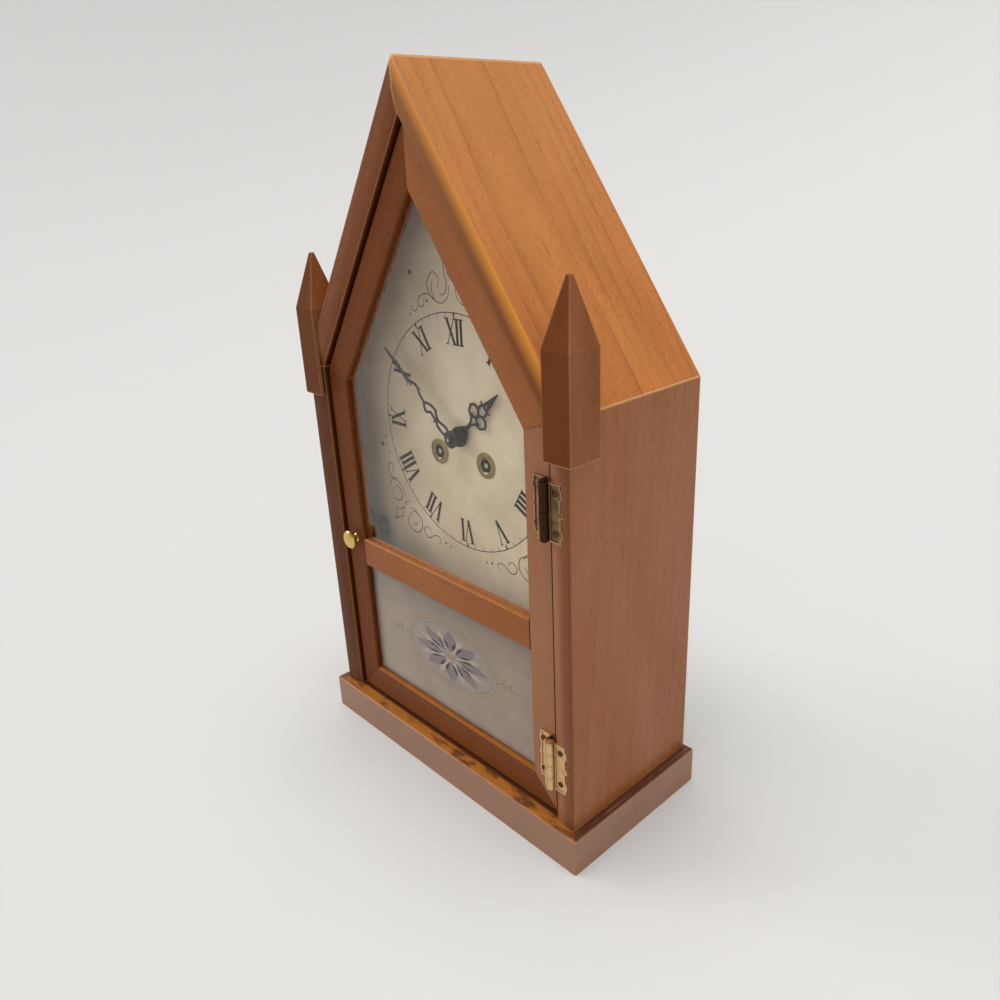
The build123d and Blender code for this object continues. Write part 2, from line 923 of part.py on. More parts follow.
def grommet(place):
    """Turned brass bush round a winding hole."""
    tube = grommet_bore + grommet_tube_wall
    face = dial_front - grommet_flange
    return turned(place, [
        (grommet_bore, dial_board_back),
        (grommet_bore, face + grommet_flange / 2),
        (grommet_bore + grommet_bead, face - grommet_crown),
        (tube + grommet_bead, face),
        (grommet_radius - grommet_bead, face),
        (grommet_radius, face + grommet_flange / 2),
        (grommet_radius, dial_front),
        (tube, dial_front),
        (tube, dial_board_back),
    ])


# Gears

def gear_outline(teeth, module, place, phase, leaf):
    """Outline of a wheel or, with leaf set, of a pinion.

    Each tooth has a narrow tip, a rounded belly, its pitch points and its root."""
    addendum = pinion_addendum_share if leaf else wheel_addendum_share
    dedendum = pinion_dedendum_share if leaf else wheel_dedendum_share
    shares = pinion_tooth_shares if leaf else wheel_tooth_shares
    pitch_radius = teeth * module / 2
    radii = [
        pitch_radius - dedendum * module,
        pitch_radius,
        pitch_radius + addendum * module * tooth_belly_share,
        pitch_radius + addendum * module,
    ]
    step = 2 * math.pi / teeth
    points = []
    for tooth in range(teeth):
        middle = phase + tooth * step
        flank = list(zip(radii, shares))
        for radius, share in flank:
            turn = middle - share * step
            points.append((place[0] + radius * math.cos(turn), place[1] + radius * math.sin(turn)))
        for radius, share in reversed(flank):
            turn = middle + share * step
            points.append((place[0] + radius * math.cos(turn), place[1] + radius * math.sin(turn)))
    return points


def gear(teeth, module, place, phase, front, back, leaf=False):
    """Toothed disc between two depths."""
    return prism_y(gear_outline(teeth, module, place, phase, leaf), front, back)


def meshed_phase(place, teeth, other_place, other_teeth, other_phase):
    """Turn of a gear that puts its gap where the other gear has its tooth."""
    towards = math.atan2(place[1] - other_place[1], place[0] - other_place[0])
    other_step = 2 * math.pi / other_teeth
    step = 2 * math.pi / teeth
    offset = ((towards - other_phase) / other_step) % 1
    return towards + math.pi - (1 / 2 - offset) * step


def mesh_distance(teeth, other_teeth, module):
    """Centre distance of two gears, with a little slack."""
    return (teeth + other_teeth) * module / 2 + mesh_slack


def apex_of(first, second, first_reach, second_reach):
    """Place at given distances from two others, on the upper side."""
    dx = second[0] - first[0]
    dz = second[1] - first[1]
    gap = math.hypot(dx, dz)
    run = (first_reach ** 2 - second_reach ** 2 + gap ** 2) / (2 * gap)
    rise = math.sqrt(first_reach ** 2 - run ** 2)
    ux, uz = dx / gap, dz / gap
    candidates = [
        (first[0] + run * ux - side * rise * uz, first[1] + run * uz + side * rise * ux)
        for side in (-1, 1)
    ]
    return max(candidates, key=lambda place: place[1])


def train_places():
    """Where every arbor of the movement stands, in the dial's plane."""
    strike, going = winding_places()
    places = {"going_barrel": going, "strike_barrel": strike, "centre": centre}
    barrel_reach = mesh_distance(barrel_teeth, barrel_pinion_teeth, barrel_module)
    second_reach = mesh_distance(second_teeth, centre_pinion_teeth, barrel_module)
    second = apex_of(going, centre, barrel_reach, second_reach)
    places["going_second"] = second
    places["strike_second"] = (-second[0], second[1])
    places["third"] = polar(
        centre, mesh_distance(centre_teeth, third_pinion_teeth, centre_module), 90
    )
    places["escape"] = polar(
        places["third"], mesh_distance(third_teeth, escape_pinion_teeth, third_module), 90
    )
    places["verge"] = polar(places["escape"], escape_radius * verge_rise_share, 90)
    places["pin"] = polar(
        places["strike_second"],
        mesh_distance(second_teeth, strike_pinion_teeth, strike_module),
        pin_wheel_angle,
    )
    places["warning"] = polar(
        places["pin"],
        mesh_distance(pin_wheel_teeth, warning_pinion_teeth, pin_wheel_module),
        warning_angle,
    )
    places["fly"] = polar(
        places["warning"], mesh_distance(warning_teeth, fly_pinion_teeth, warning_module), fly_angle
    )
    places["minute_wheel"] = polar(
        centre, mesh_distance(cannon_teeth, minute_wheel_teeth, motion_module), motion_angle
    )
    places["hammer"] = polar(places["pin"], hammer_reach, 180)
    return places


def arbor(place):
    """Plain arbor between the plates, with a pivot at each end."""
    body = rod_y(place, arbor_radius, inside_front + end_shake, inside_back - end_shake)
    return body + rod_y(place, pivot_radius, front_plate_front, back_plate_back)


def train_wheel(place, teeth, module, layer):
    """Wheel with its hub at a layer behind the front plate."""
    front = inside_front + layer
    wheel = gear(teeth, module, place, 0, front, front + wheel_thickness)
    return wheel + rod_y(place, hub_radius, front - wheel_thickness / 2,
                         front + wheel_thickness * 3 / 2)


def train_pinion(place, teeth, module, phase, layer):
    """Pinion centred on the wheel layer that drives it."""
    middle = inside_front + layer + wheel_thickness / 2
    return gear(teeth, module, place, phase, middle - pinion_length / 2,
                middle + pinion_length / 2, leaf=True)


def barrel(place):
    """Going barrel: drum with the main wheel at its front end."""
    front = inside_front + barrel_layer
    shape = gear(barrel_teeth, barrel_module, place, 0, front, front + wheel_thickness)
    shape = shape + rod_y(place, barrel_drum_radius, front + wheel_thickness,
                          front + wheel_thickness + barrel_drum_length)
    return shape - rod_y(place, winding_arbor_radius + barrel_bore_clearance, front - overrun,
                         front + wheel_thickness + barrel_drum_length + overrun)


def winding_arbor(place):
    """Arbor of a barrel with its ratchet wheel and its winding square."""
    shape = rod_y(place, winding_arbor_radius, inside_front + end_shake, inside_back - end_shake)
    shape = shape + rod_y(place, winding_pivot_radius, front_plate_front - ratchet_thickness * 2,
                          back_plate_back)
    ratchet_back = front_plate_front - end_shake
    shape = shape + ratchet(place, ratchet_back - ratchet_thickness, ratchet_back)
    half = winding_square / 2
    square = block(place[0] - half, place[0] + half, dial_front,
                   front_plate_front - ratchet_thickness, place[1] - half, place[1] + half)
    return shape + square


def ratchet(place, front, back):
    """Saw-toothed wheel that the click holds."""
    points = []
    for tooth in range(ratchet_teeth):
        turn = 360.0 * tooth / ratchet_teeth
        points.append(polar(place, ratchet_radius, turn))
        points.append(polar(place, ratchet_radius * ratchet_tooth_share, turn))
    return prism_y(points, front, back)


def escape_outline(place):
    """Forward-leaning pointed teeth of the escape wheel."""
    points = []
    step = 360.0 / escape_teeth
    for tooth in range(escape_teeth):
        turn = step * tooth
        points.append(polar(place, escape_radius - escape_tooth_height, turn - step / 4))
        points.append(polar(place, escape_radius, turn))
        points.append(polar(place, escape_radius - escape_tooth_height, turn + step / 8))
    return points


def spoke_outline(place, reach, turn):
    """Outline of one spoke of the escape wheel."""
    half = math.degrees(escape_spoke_width / 2 / reach)
    near = polar(place, reach, turn - half)
    far = polar(place, reach, turn + half)
    back = polar((0, 0), escape_spoke_width / 2, turn + 90)
    return [
        (place[0] - back[0], place[1] - back[1]), near, far,
        (place[0] + back[0], place[1] + back[1]),
    ]


def escape_wheel(places):
    """Escape wheel with its pinion and arbor."""
    place = places["escape"]
    front = inside_front + escape_layer
    back = front + escape_thickness
    shape = prism_y(escape_outline(place), front, back)
    rim = escape_radius - escape_tooth_height - escape_rim_width
    shape = shape - rod_y(place, rim, front - overrun, back + overrun)
    for index in range(escape_spokes):
        spoke = prism_y(spoke_outline(place, rim + escape_rim_width / 2,
                                      360.0 * index / escape_spokes), front, back)
        shape = shape + spoke
    shape = shape + arbor(place)
    shape = shape + rod_y(place, hub_radius, front - wheel_thickness / 2,
                          front + wheel_thickness * 3 / 2)
    phase = meshed_phase(place, escape_pinion_teeth, places["third"], third_teeth, 0)
    return shape + train_pinion(place, escape_pinion_teeth, third_module, phase, third_layer)


def wheel_and_pinion(place, wheel, pinion):
    """Arbor that carries one wheel and one pinion.

    wheel is (teeth, module, layer); pinion is (teeth, module, layer, driver place,
    driver teeth)."""
    teeth, module, layer = wheel
    shape = arbor(place) + train_wheel(place, teeth, module, layer)
    leaf_teeth, leaf_module, leaf_layer, driver, driver_teeth = pinion
    phase = meshed_phase(place, leaf_teeth, driver, driver_teeth, 0)
    return shape + train_pinion(place, leaf_teeth, leaf_module, phase, leaf_layer)


def centre_wheel(places):
    """Centre wheel and pinion on the arbor that reaches through the dial."""
    place = places["centre"]
    shape = wheel_and_pinion(
        place,
        (centre_teeth, centre_module, centre_layer),
        (centre_pinion_teeth, barrel_module, second_layer, places["going_second"], second_teeth),
    )
    return shape + rod_y(place, centre_arbor_radius, nut_front(), inside_front + end_shake)


def pin_wheel(places):
    """Strike pin wheel with the lifting pins on its face."""
    place = places["pin"]
    shape = wheel_and_pinion(
        place,
        (pin_wheel_teeth, pin_wheel_module, pin_wheel_layer),
        (strike_pinion_teeth, strike_module, strike_second_layer, places["strike_second"],
         second_teeth),
    )
    circle = pin_wheel_teeth * pin_wheel_module / 2 * pin_circle_share
    front = inside_front + pin_wheel_layer
    for index in range(pin_count):
        pin_place = polar(place, circle, 360.0 * index / pin_count)
        shape = shape + rod_y(pin_place, pin_radius, front - pin_length, front)
    return shape


def fly(places):
    """Air brake of the strike train."""
    place = places["fly"]
    phase = meshed_phase(place, fly_pinion_teeth, places["warning"], warning_teeth, 0)
    shape = arbor(place)
    shape = shape + train_pinion(place, fly_pinion_teeth, warning_module, phase, warning_layer)
    front = inside_front + fly_layer
    half = fly_thickness / 2
    return shape + block(place[0] - fly_half_width, place[0] + fly_half_width, front,
                         front + fly_length * 2 / 3, place[1] - half, place[1] + half)


# Motion work and hands

def hour_hand_front():
    """Front face of the hour hand."""
    return dial_front - grommet_flange - grommet_crown - hour_hand_clearance - hand_thickness


def hour_pipe_front():
    """Front end of the hour pipe, inside the collet of the hour hand."""
    return hour_hand_front() - hour_collet_length


def minute_hand_back():
    """Back face of the minute hand."""
    return hour_hand_front() - hand_gap


def nut_front():
    """Front end of the centre arbor and its nut."""
    return minute_hand_back() - hand_thickness - hand_nut_height


def cannon_pinion():
    """Pipe and pinion that carry the minute hand, free on the centre arbor."""
    back = front_plate_front - motion_shake
    shape = rod_y(centre, cannon_radius, minute_hand_back() - hand_thickness, back)
    shape = shape + gear(cannon_teeth, motion_module, centre, 0,
                         back - motion_wheel_thickness * 3 / 2, back, leaf=True)
    return shape - rod_y(centre, centre_arbor_radius + cannon_bore_clearance,
                         nut_front() - overrun, inside_front)


def minute_wheel(places):
    """Minute wheel and its pinion on a stud."""
    place = places["minute_wheel"]
    back = front_plate_front - motion_shake
    front = back - motion_wheel_thickness
    phase = meshed_phase(place, minute_wheel_teeth, centre, cannon_teeth, 0)
    shape = gear(minute_wheel_teeth, motion_module, place, phase, front, back)
    leaf_front = front - minute_pinion_length
    shape = shape + gear(minute_pinion_teeth, hour_module(), place, 0, leaf_front, front,
                         leaf=True)
    return shape - rod_y(place, pivot_radius + pivot_clearance, leaf_front - overrun,
                         back + overrun)


def hour_module():
    """Module of the hour wheel, from the distance that the minute wheel fixes."""
    return (cannon_teeth + minute_wheel_teeth) * motion_module / (
        minute_pinion_teeth + hour_wheel_teeth
    )


def hour_wheel(places):
    """Hour wheel on the pipe that carries the hour hand."""
    back = front_plate_front - motion_shake - motion_wheel_thickness * 2
    front = back - motion_wheel_thickness
    phase = meshed_phase(centre, hour_wheel_teeth, places["minute_wheel"], minute_pinion_teeth, 0)
    shape = gear(hour_wheel_teeth, hour_module(), centre, phase, front, back)
    shape = shape + rod_y(centre, hour_pipe_radius, hour_pipe_front(), back)
    return shape - rod_y(centre, cannon_radius + hour_pipe_clearance, hour_pipe_front() - overrun,
                         back + overrun)


def hand_point(along_hand, across, angle):
    """Place on a hand, from its distance along and across the hand."""
    turn = math.radians(angle)
    return (
        centre[0] + along_hand * math.sin(turn) + across * math.cos(turn),
        centre[1] + along_hand * math.cos(turn) - across * math.sin(turn),
    )


def hand_plate(outline, length, angle, front):
    """Flat piece of a hand from an outline in shares of its length."""
    points = [hand_point(reach * length, across * length, angle) for reach, across in outline]
    return prism_y(points, front, front + hand_thickness)


def hand_stroke(line, width, length, angle, front):
    """Band of one width along a smooth line through a few places of a hand."""
    path = Spline(*[(reach * length, across * length) for reach, across in line])
    steps = stroke_steps * (len(line) - 1)
    ahead = []
    behind = []
    for step in range(steps + 1):
        spot = path.position_at(step / steps)
        heading = path.tangent_at(step / steps)
        dx = heading.Y * width / 2
        dy = heading.X * width / 2
        ahead.append(hand_point(spot.X - dx, spot.Y + dy, angle))
        behind.append(hand_point(spot.X + dx, spot.Y - dy, angle))
    return prism_y(ahead + behind[::-1], front, front + hand_thickness)


def hand_barb(barb, width, length, angle, front):
    """Small pointed barb from a place on a stroke to its tip."""
    foot = (barb[0] * length, barb[1] * length)
    tip = (barb[2] * length, barb[3] * length)
    size = math.hypot(tip[0] - foot[0], tip[1] - foot[1])
    dx = (tip[1] - foot[1]) / size * width / 2
    dy = (tip[0] - foot[0]) / size * width / 2
    points = [
        hand_point(foot[0] - dx, foot[1] + dy, angle),
        hand_point(foot[0] + dx, foot[1] - dy, angle),
        hand_point(tip[0] + dx / 4, tip[1] - dy / 4, angle),
        hand_point(tip[0] - dx / 4, tip[1] + dy / 4, angle),
    ]
    return prism_y(points, front, front + hand_thickness)


def flipped(shares):
    """The same places on the other side of the hand."""
    return tuple((place[0], -place[1]) for place in shares)


def minute_hand():
    """Serpentine minute hand: two crossing arms, a wave and a pointed blade."""
    front = minute_hand_back() - hand_thickness
    back = minute_hand_back()
    shape = rod_y(centre, minute_boss_radius, front, back)
    shape = shape + rod_y(centre, minute_boss_radius - hand_thickness, back,
                          back + minute_collet_length)
    shape = shape + hand_plate(minute_blade_shares, minute_length, minute_angle, front)
    for line in minute_stroke_shares:
        shape = shape + hand_stroke(line, minute_stroke_width, minute_length, minute_angle, front)
    for barb in minute_barb_shares:
        shape = shape + hand_barb(barb, minute_stroke_width, minute_length, minute_angle, front)
    return shape - rod_y(centre, cannon_radius, front - overrun,
                         back + minute_collet_length + overrun)


def hour_hand():
    """Serpentine hour hand: a collar, two rings with balls, a loop and a pierced point."""
    front = hour_hand_front()
    back = front + hand_thickness
    shape = rod_y(centre, hour_boss_radius, front, back)
    shape = shape + rod_y(centre, hour_collet_radius, front - hour_collet_length, front)
    shape = shape + hand_plate(hour_collar_shares, hour_length, hour_angle, front)
    point = hand_plate(hour_blade_shares, hour_length, hour_angle, front)
    shape = shape + (point - hand_plate(hour_window_shares, hour_length, hour_angle, front))
    ball_reach, ball_across = hour_ring_shares[0]
    for side in (-1, 1):
        for line in (hour_ring_shares, hour_bend_shares, hour_loop_shares):
            shares = line if side > 0 else flipped(line)
            shape = shape + hand_stroke(shares, hour_stroke_width, hour_length, hour_angle, front)
        for barb in hour_barb_shares:
            sided = (barb[0], side * barb[1], barb[2], side * barb[3])
            shape = shape + hand_barb(sided, hour_stroke_width, hour_length, hour_angle, front)
        ball = hand_point(ball_reach * hour_length, side * ball_across * hour_length, hour_angle)
        shape = shape + rod_y(ball, hour_ball_radius, front, back)
    eye = hand_point(hour_eye_share * hour_length, 0, hour_angle)
    shape = shape - rod_y(eye, hour_eye_radius, front - overrun, back + overrun)
    return shape - rod_y(centre, hour_pipe_radius, front - hour_collet_length - overrun,
                         back + overrun)


def hand_nut():
    """Round nut on the end of the centre arbor."""
    front = nut_front()
    back = minute_hand_back() - hand_thickness
    nut = turned(centre, [
        (0, front),
        (hand_nut_radius * 2 / 3, front),
        (hand_nut_radius, front + hand_nut_height / 3),
        (hand_nut_radius, back),
        (0, back),
    ])
    return nut - rod_y(centre, centre_arbor_radius + cannon_bore_clearance, front - overrun,
                       back + overrun)


# Plates and what they carry

def movement_plate(front, holes):
    """One brass plate with clipped corners."""
    low = dial_centre_height - plate_drop
    high = dial_centre_height + plate_rise
    half = plate_half_width
    outline = [
        (-half + plate_corner, low), (half - plate_corner, low),
        (half, low + plate_corner), (half, high - plate_corner),
        (half - plate_corner, high), (-half + plate_corner, high),
        (-half, high - plate_corner), (-half, low + plate_corner),
    ]
    plate = prism_y(outline, front, front + plate_thickness)
    for place, radius in holes:
        plate = plate - rod_y(place, radius, front - overrun, front + plate_thickness + overrun)
    return plate


def pillar_places():
    """The four pillars at the corners of the plates."""
    low = dial_centre_height - plate_drop + pillar_inset
    high = dial_centre_height + plate_rise - pillar_inset
    across = plate_half_width - pillar_inset
    return [(side * across, height) for height in (low, high) for side in (-1, 1)]


def plate_holes(places, front_side):
    """Pivot holes of a plate."""
    fine = pivot_radius + pivot_clearance
    names = ["going_second", "strike_second", "third", "escape", "verge", "pin", "warning", "fly",
             "hammer"]
    holes = [(places[name], fine) for name in names]
    wide = winding_pivot_radius + pivot_clearance
    holes += [(places["going_barrel"], wide), (places["strike_barrel"], wide)]
    if front_side:
        holes.append((places["centre"], centre_arbor_radius + pivot_clearance))
    else:
        holes.append((places["centre"], fine))
    return holes


def pillars():
    """Pillars that hold the plates apart, and the feet that stand on the dial board."""
    spans = ((dial_board_back, front_plate_front), (inside_front, inside_back))
    return [rod_y(place, pillar_radius, *span) for place in pillar_places() for span in spans]


def minute_stud(places):
    """Stud on the front plate that the minute wheel turns on."""
    back = front_plate_front
    front = back - motion_shake * 2 - motion_wheel_thickness - minute_pinion_length
    return rod_y(places["minute_wheel"], pivot_radius, front, back)


def pendulum_plane():
    """Middle depth of the pendulum rod."""
    return back_plate_back + pendulum_standoff


def suspension_cock(places):
    """Split bracket on the back plate that holds the suspension spring."""
    place = places["verge"]
    half = cock_width / 2
    low = place[1] + cock_height / 2
    sway = cock_height * math.sin(math.radians(pendulum_swing))
    slot = suspension_thickness / 2 + sway + cock_slot_gap
    reach = pendulum_plane() + suspension_width / 2 + cock_thickness
    body = block(place[0] - half, place[0] + half, back_plate_back, reach, low, low + cock_height)
    gap = block(place[0] - slot, place[0] + slot,
                pendulum_plane() - suspension_width / 2 - cock_slot_gap,
                reach + overrun, low - overrun, low + cock_height + overrun)
    return body - gap


def pendulum(places):
    """Suspension spring, rod, bob and rating nut as separate solids."""
    place = places["verge"]
    depth = pendulum_plane()
    half = suspension_width / 2
    thin = suspension_thickness / 2
    top = place[1] + cock_height
    foot = top - suspension_length - cock_height / 2
    strip = block(place[0] - thin, place[0] + thin, depth - half, depth + half, foot, top)
    bob_height = place[1] - pendulum_length
    end = bob_height - bob_radius - rating_nut_height - rod_overhang
    rod = rod_z(place[0], depth, pendulum_rod_radius, end, foot)
    bob = turned((place[0], bob_height), [
        (0, depth - bob_thickness / 2),
        (bob_radius * 3 / 4, depth - bob_thickness / 2),
        (bob_radius, depth - bob_thickness / 8),
        (bob_radius, depth + bob_thickness / 8),
        (bob_radius * 3 / 4, depth + bob_thickness / 2),
        (0, depth + bob_thickness / 2),
    ])
    bob = bob - rod_z(place[0], depth, pendulum_rod_radius, end, foot)
    nut_top = bob_height - bob_radius
    nut = rod_z(place[0], depth, rating_nut_radius, nut_top - rating_nut_height, nut_top)
    nut = nut - rod_z(place[0], depth, pendulum_rod_radius, end, foot)
    return [strip + rod, bob, nut]


def verge(places):
    """Anchor, its arbor and the crutch whose fork straddles the pendulum rod."""
    place = places["verge"]
    wheel = places["escape"]
    front = inside_front + escape_layer + escape_thickness / 2 - anchor_thickness / 2
    back = front + anchor_thickness
    rim = escape_radius + anchor_tip_clearance
    foot = wheel[1] + math.sqrt(rim ** 2 - anchor_half_span ** 2) + anchor_tip_clearance
    shoulder = place[1] + anchor_arm_width / 2
    inner = anchor_half_span + anchor_tip_clearance
    outer = inner + anchor_arm_width
    anchor = prism_y([
        (place[0] - outer, foot),
        (place[0] - inner, foot),
        (place[0] - inner, place[1] - anchor_arm_width),
        (place[0], place[1] - anchor_arm_width / 2),
        (place[0] + inner, place[1] - anchor_arm_width),
        (place[0] + inner, foot),
        (place[0] + outer, foot),
        (place[0] + outer, place[1] - anchor_arm_width / 2),
        (place[0], shoulder + anchor_arm_width / 2),
        (place[0] - outer, place[1] - anchor_arm_width / 2),
    ], front, back)
    body = rod_y(place, arbor_radius, inside_front + end_shake, inside_back - end_shake)
    crutch_front = back_plate_back + end_shake * 2
    crutch_back = crutch_front + crutch_thickness
    body = body + rod_y(place, pivot_radius, front_plate_front, crutch_back)
    half = crutch_width / 2
    low = place[1] - crutch_length
    arm = block(place[0] - half, place[0] + half, crutch_front, crutch_back, low, place[1])
    depth = pendulum_plane()
    shape = anchor + body + arm
    for side in (-1, 1):
        near = place[0] + side * (pendulum_rod_radius + crutch_fork_gap)
        far = near + side * crutch_fork_width
        shape = shape + block(min(near, far), max(near, far), crutch_front,
                              depth + pendulum_rod_radius * 2, low - crutch_width, low)
    bridge = pendulum_rod_radius + crutch_fork_gap + crutch_fork_width
    return shape + block(place[0] - bridge, place[0] + bridge, crutch_front, crutch_back,
                         low - crutch_width, low)


def hammer_plane():
    """Middle depth of the hammer arm."""
    return back_plate_back + hammer_standoff


def hammer_head_place(places):
    """Where the hammer head stops at rest."""
    place = places["hammer"]
    return (place[0], place[1] - hammer_arm_length)


def hammer(places):
    """Strike hammer: arbor, arm, tail and a head that lies beside both rods."""
    place = places["hammer"]
    depth = hammer_plane()
    half = hammer_arm_width / 2
    thin = hammer_arm_thickness / 2
    shape = rod_y(place, arbor_radius, inside_front + end_shake, inside_back - end_shake)
    shape = shape + rod_y(place, pivot_radius, front_plate_front, depth + thin)
    shape = shape + block(place[0] - half, place[0] + half, depth - thin, depth + thin,
                          place[1] - hammer_arm_length, place[1] + half)
    head = hammer_head_place(places)
    shape = shape + rod_y(head, hammer_head_radius, depth - thin, depth - thin + hammer_head_length)
    tail_front = inside_front + pin_wheel_layer - pin_length
    return shape + block(place[0], place[0] + hammer_tail, tail_front,
                         tail_front + wheel_thickness, place[1] - half, place[1] + half)


def rod_places(places):
    """Foot places (x, y) of the two upright sounding rods."""
    head = hammer_head_place(places)
    x = head[0] - hammer_head_radius - hammer_rod_gap - rod_radius
    first = hammer_plane() + rod_radius
    return [(x, first), (x, first + rod_pitch)]


def sounding_rods(places):
    """Iron block on the plinth, and the two rods pressed into it."""
    spots = rod_places(places)
    x = spots[0][0]
    y = (spots[0][1] + spots[1][1]) / 2
    top = hammer_head_place(places)[1] + hammer_head_radius + rod_over_hammer
    seat = plinth_height + rod_block_height / 3
    base = block(x - rod_block_width / 2, x + rod_block_width / 2, y - rod_block_depth / 2,
                 y + rod_block_depth / 2, plinth_height, plinth_height + rod_block_height)
    rods = []
    for spot in spots:
        base = base - rod_z(spot[0], spot[1], rod_radius + rod_fit, seat,
                            plinth_height + rod_block_height + overrun)
        rods.append(rod_z(spot[0], spot[1], rod_radius, seat, top))
    return base, rods


# Back of the case

def half_back_door():
    """Half the width of the back door, which laps onto the side boards."""
    return half_room + back_door_overlap


def back_door():
    """Thin back door with a row of sound slots."""
    half = half_back_door()
    door = block(-half, half, case_back, plinth_back, plinth_height + back_door_foot_gap,
                 back_door_top)
    for index in range(vent_slots):
        height = plinth_height + vent_rise + index * vent_pitch
        slot = Pos(0, 0, height) * Rot(90, 0, 0) * SlotOverall(vent_slot_length, vent_slot_height)
        slot = Pos(0, plinth_back + overrun, 0) * slot
        door = door - extrude(slot, amount=back_board_thickness + 2 * overrun, dir=(0, -1, 0))
    return door


def back_gable():
    """Fixed board that closes the gable above the back door."""
    half = half_case - back_margin
    outline = house(half, back_door_top + back_gable_gap, total_height - back_margin / roof_cos)
    return prism_y(outline, case_back, plinth_back)


def back_hinge_axis():
    """Axis (x, y) of the back hinges, on the left board."""
    x = -half_back_door() - back_hinge_barrel_radius - back_hinge_gap
    y = case_back + back_hinge_barrel_radius + back_hinge_gap / 2
    return x, y


def back_hinge_heights():
    """Middle heights of the two back hinges."""
    return (plinth_height + back_hinge_rise, back_door_top - back_hinge_rise)


def back_hinge_case(middle):
    """Leaf on the board's back edge, with the outer knuckles and the pin."""
    x, y = back_hinge_axis()
    half = back_hinge_height / 2
    relief = back_hinge_barrel_radius + back_hinge_gap
    leaf = block(x - relief - back_hinge_leaf_width, x - relief, case_back,
                 case_back + back_hinge_leaf_thickness, middle - half, middle + half)
    for index in range(0, back_hinge_knuckles, 2):
        low, high = knuckle_span(back_hinge_height, back_hinge_knuckles, middle, index,
                                 back_hinge_gap)
        leaf = leaf + rod_z(x, y, back_hinge_barrel_radius, low, high)
        leaf = leaf + block(x - relief - overrun, x, case_back,
                            case_back + back_hinge_leaf_thickness, low, high)
    return leaf + rod_z(x, y, back_hinge_pin_radius, middle - half, middle + half)


def back_hinge_door(middle):
    """Leaf on the back door, with the middle knuckle."""
    x, y = back_hinge_axis()
    half = back_hinge_height / 2
    edge = -half_back_door() + back_hinge_gap
    outer = plinth_back + back_hinge_leaf_thickness
    leaf = block(edge, edge + back_hinge_leaf_width, plinth_back, outer, middle - half,
                 middle + half)
    low, high = knuckle_span(back_hinge_height, back_hinge_knuckles, middle, 1, back_hinge_gap)
    leaf = leaf + rod_z(x, y, back_hinge_barrel_radius, low, high)
    leaf = leaf + block(x, edge + overrun, plinth_back,
                        y + back_hinge_barrel_radius, low, high)
    leaf = leaf + block(x + back_hinge_pin_radius + overrun / 2, edge + overrun, plinth_back, outer,
                        low, high)
    bore = back_hinge_pin_radius + hinge_bore_clearance
    return leaf - rod_z(x, y, bore, middle - half, middle + half)


def back_knob():
    """Small turned knob on the back door."""
    place = (half_back_door() - back_knob_inset, (plinth_height + back_door_top) / 2)
    outer = plinth_back + back_knob_length
    return turned(place, [
        (0, plinth_back),
        (back_knob_radius / 2, plinth_back),
        (back_knob_radius / 2, plinth_back + back_knob_length / 3),
        (back_knob_radius, plinth_back + back_knob_length / 2),
        (back_knob_radius, outer - back_knob_length / 6),
        (back_knob_radius * 2 / 3, outer),
        (0, outer),
    ])


def group(solids):
    """Several separate solids kept in one piece file."""
    return Compound(children=list(solids))


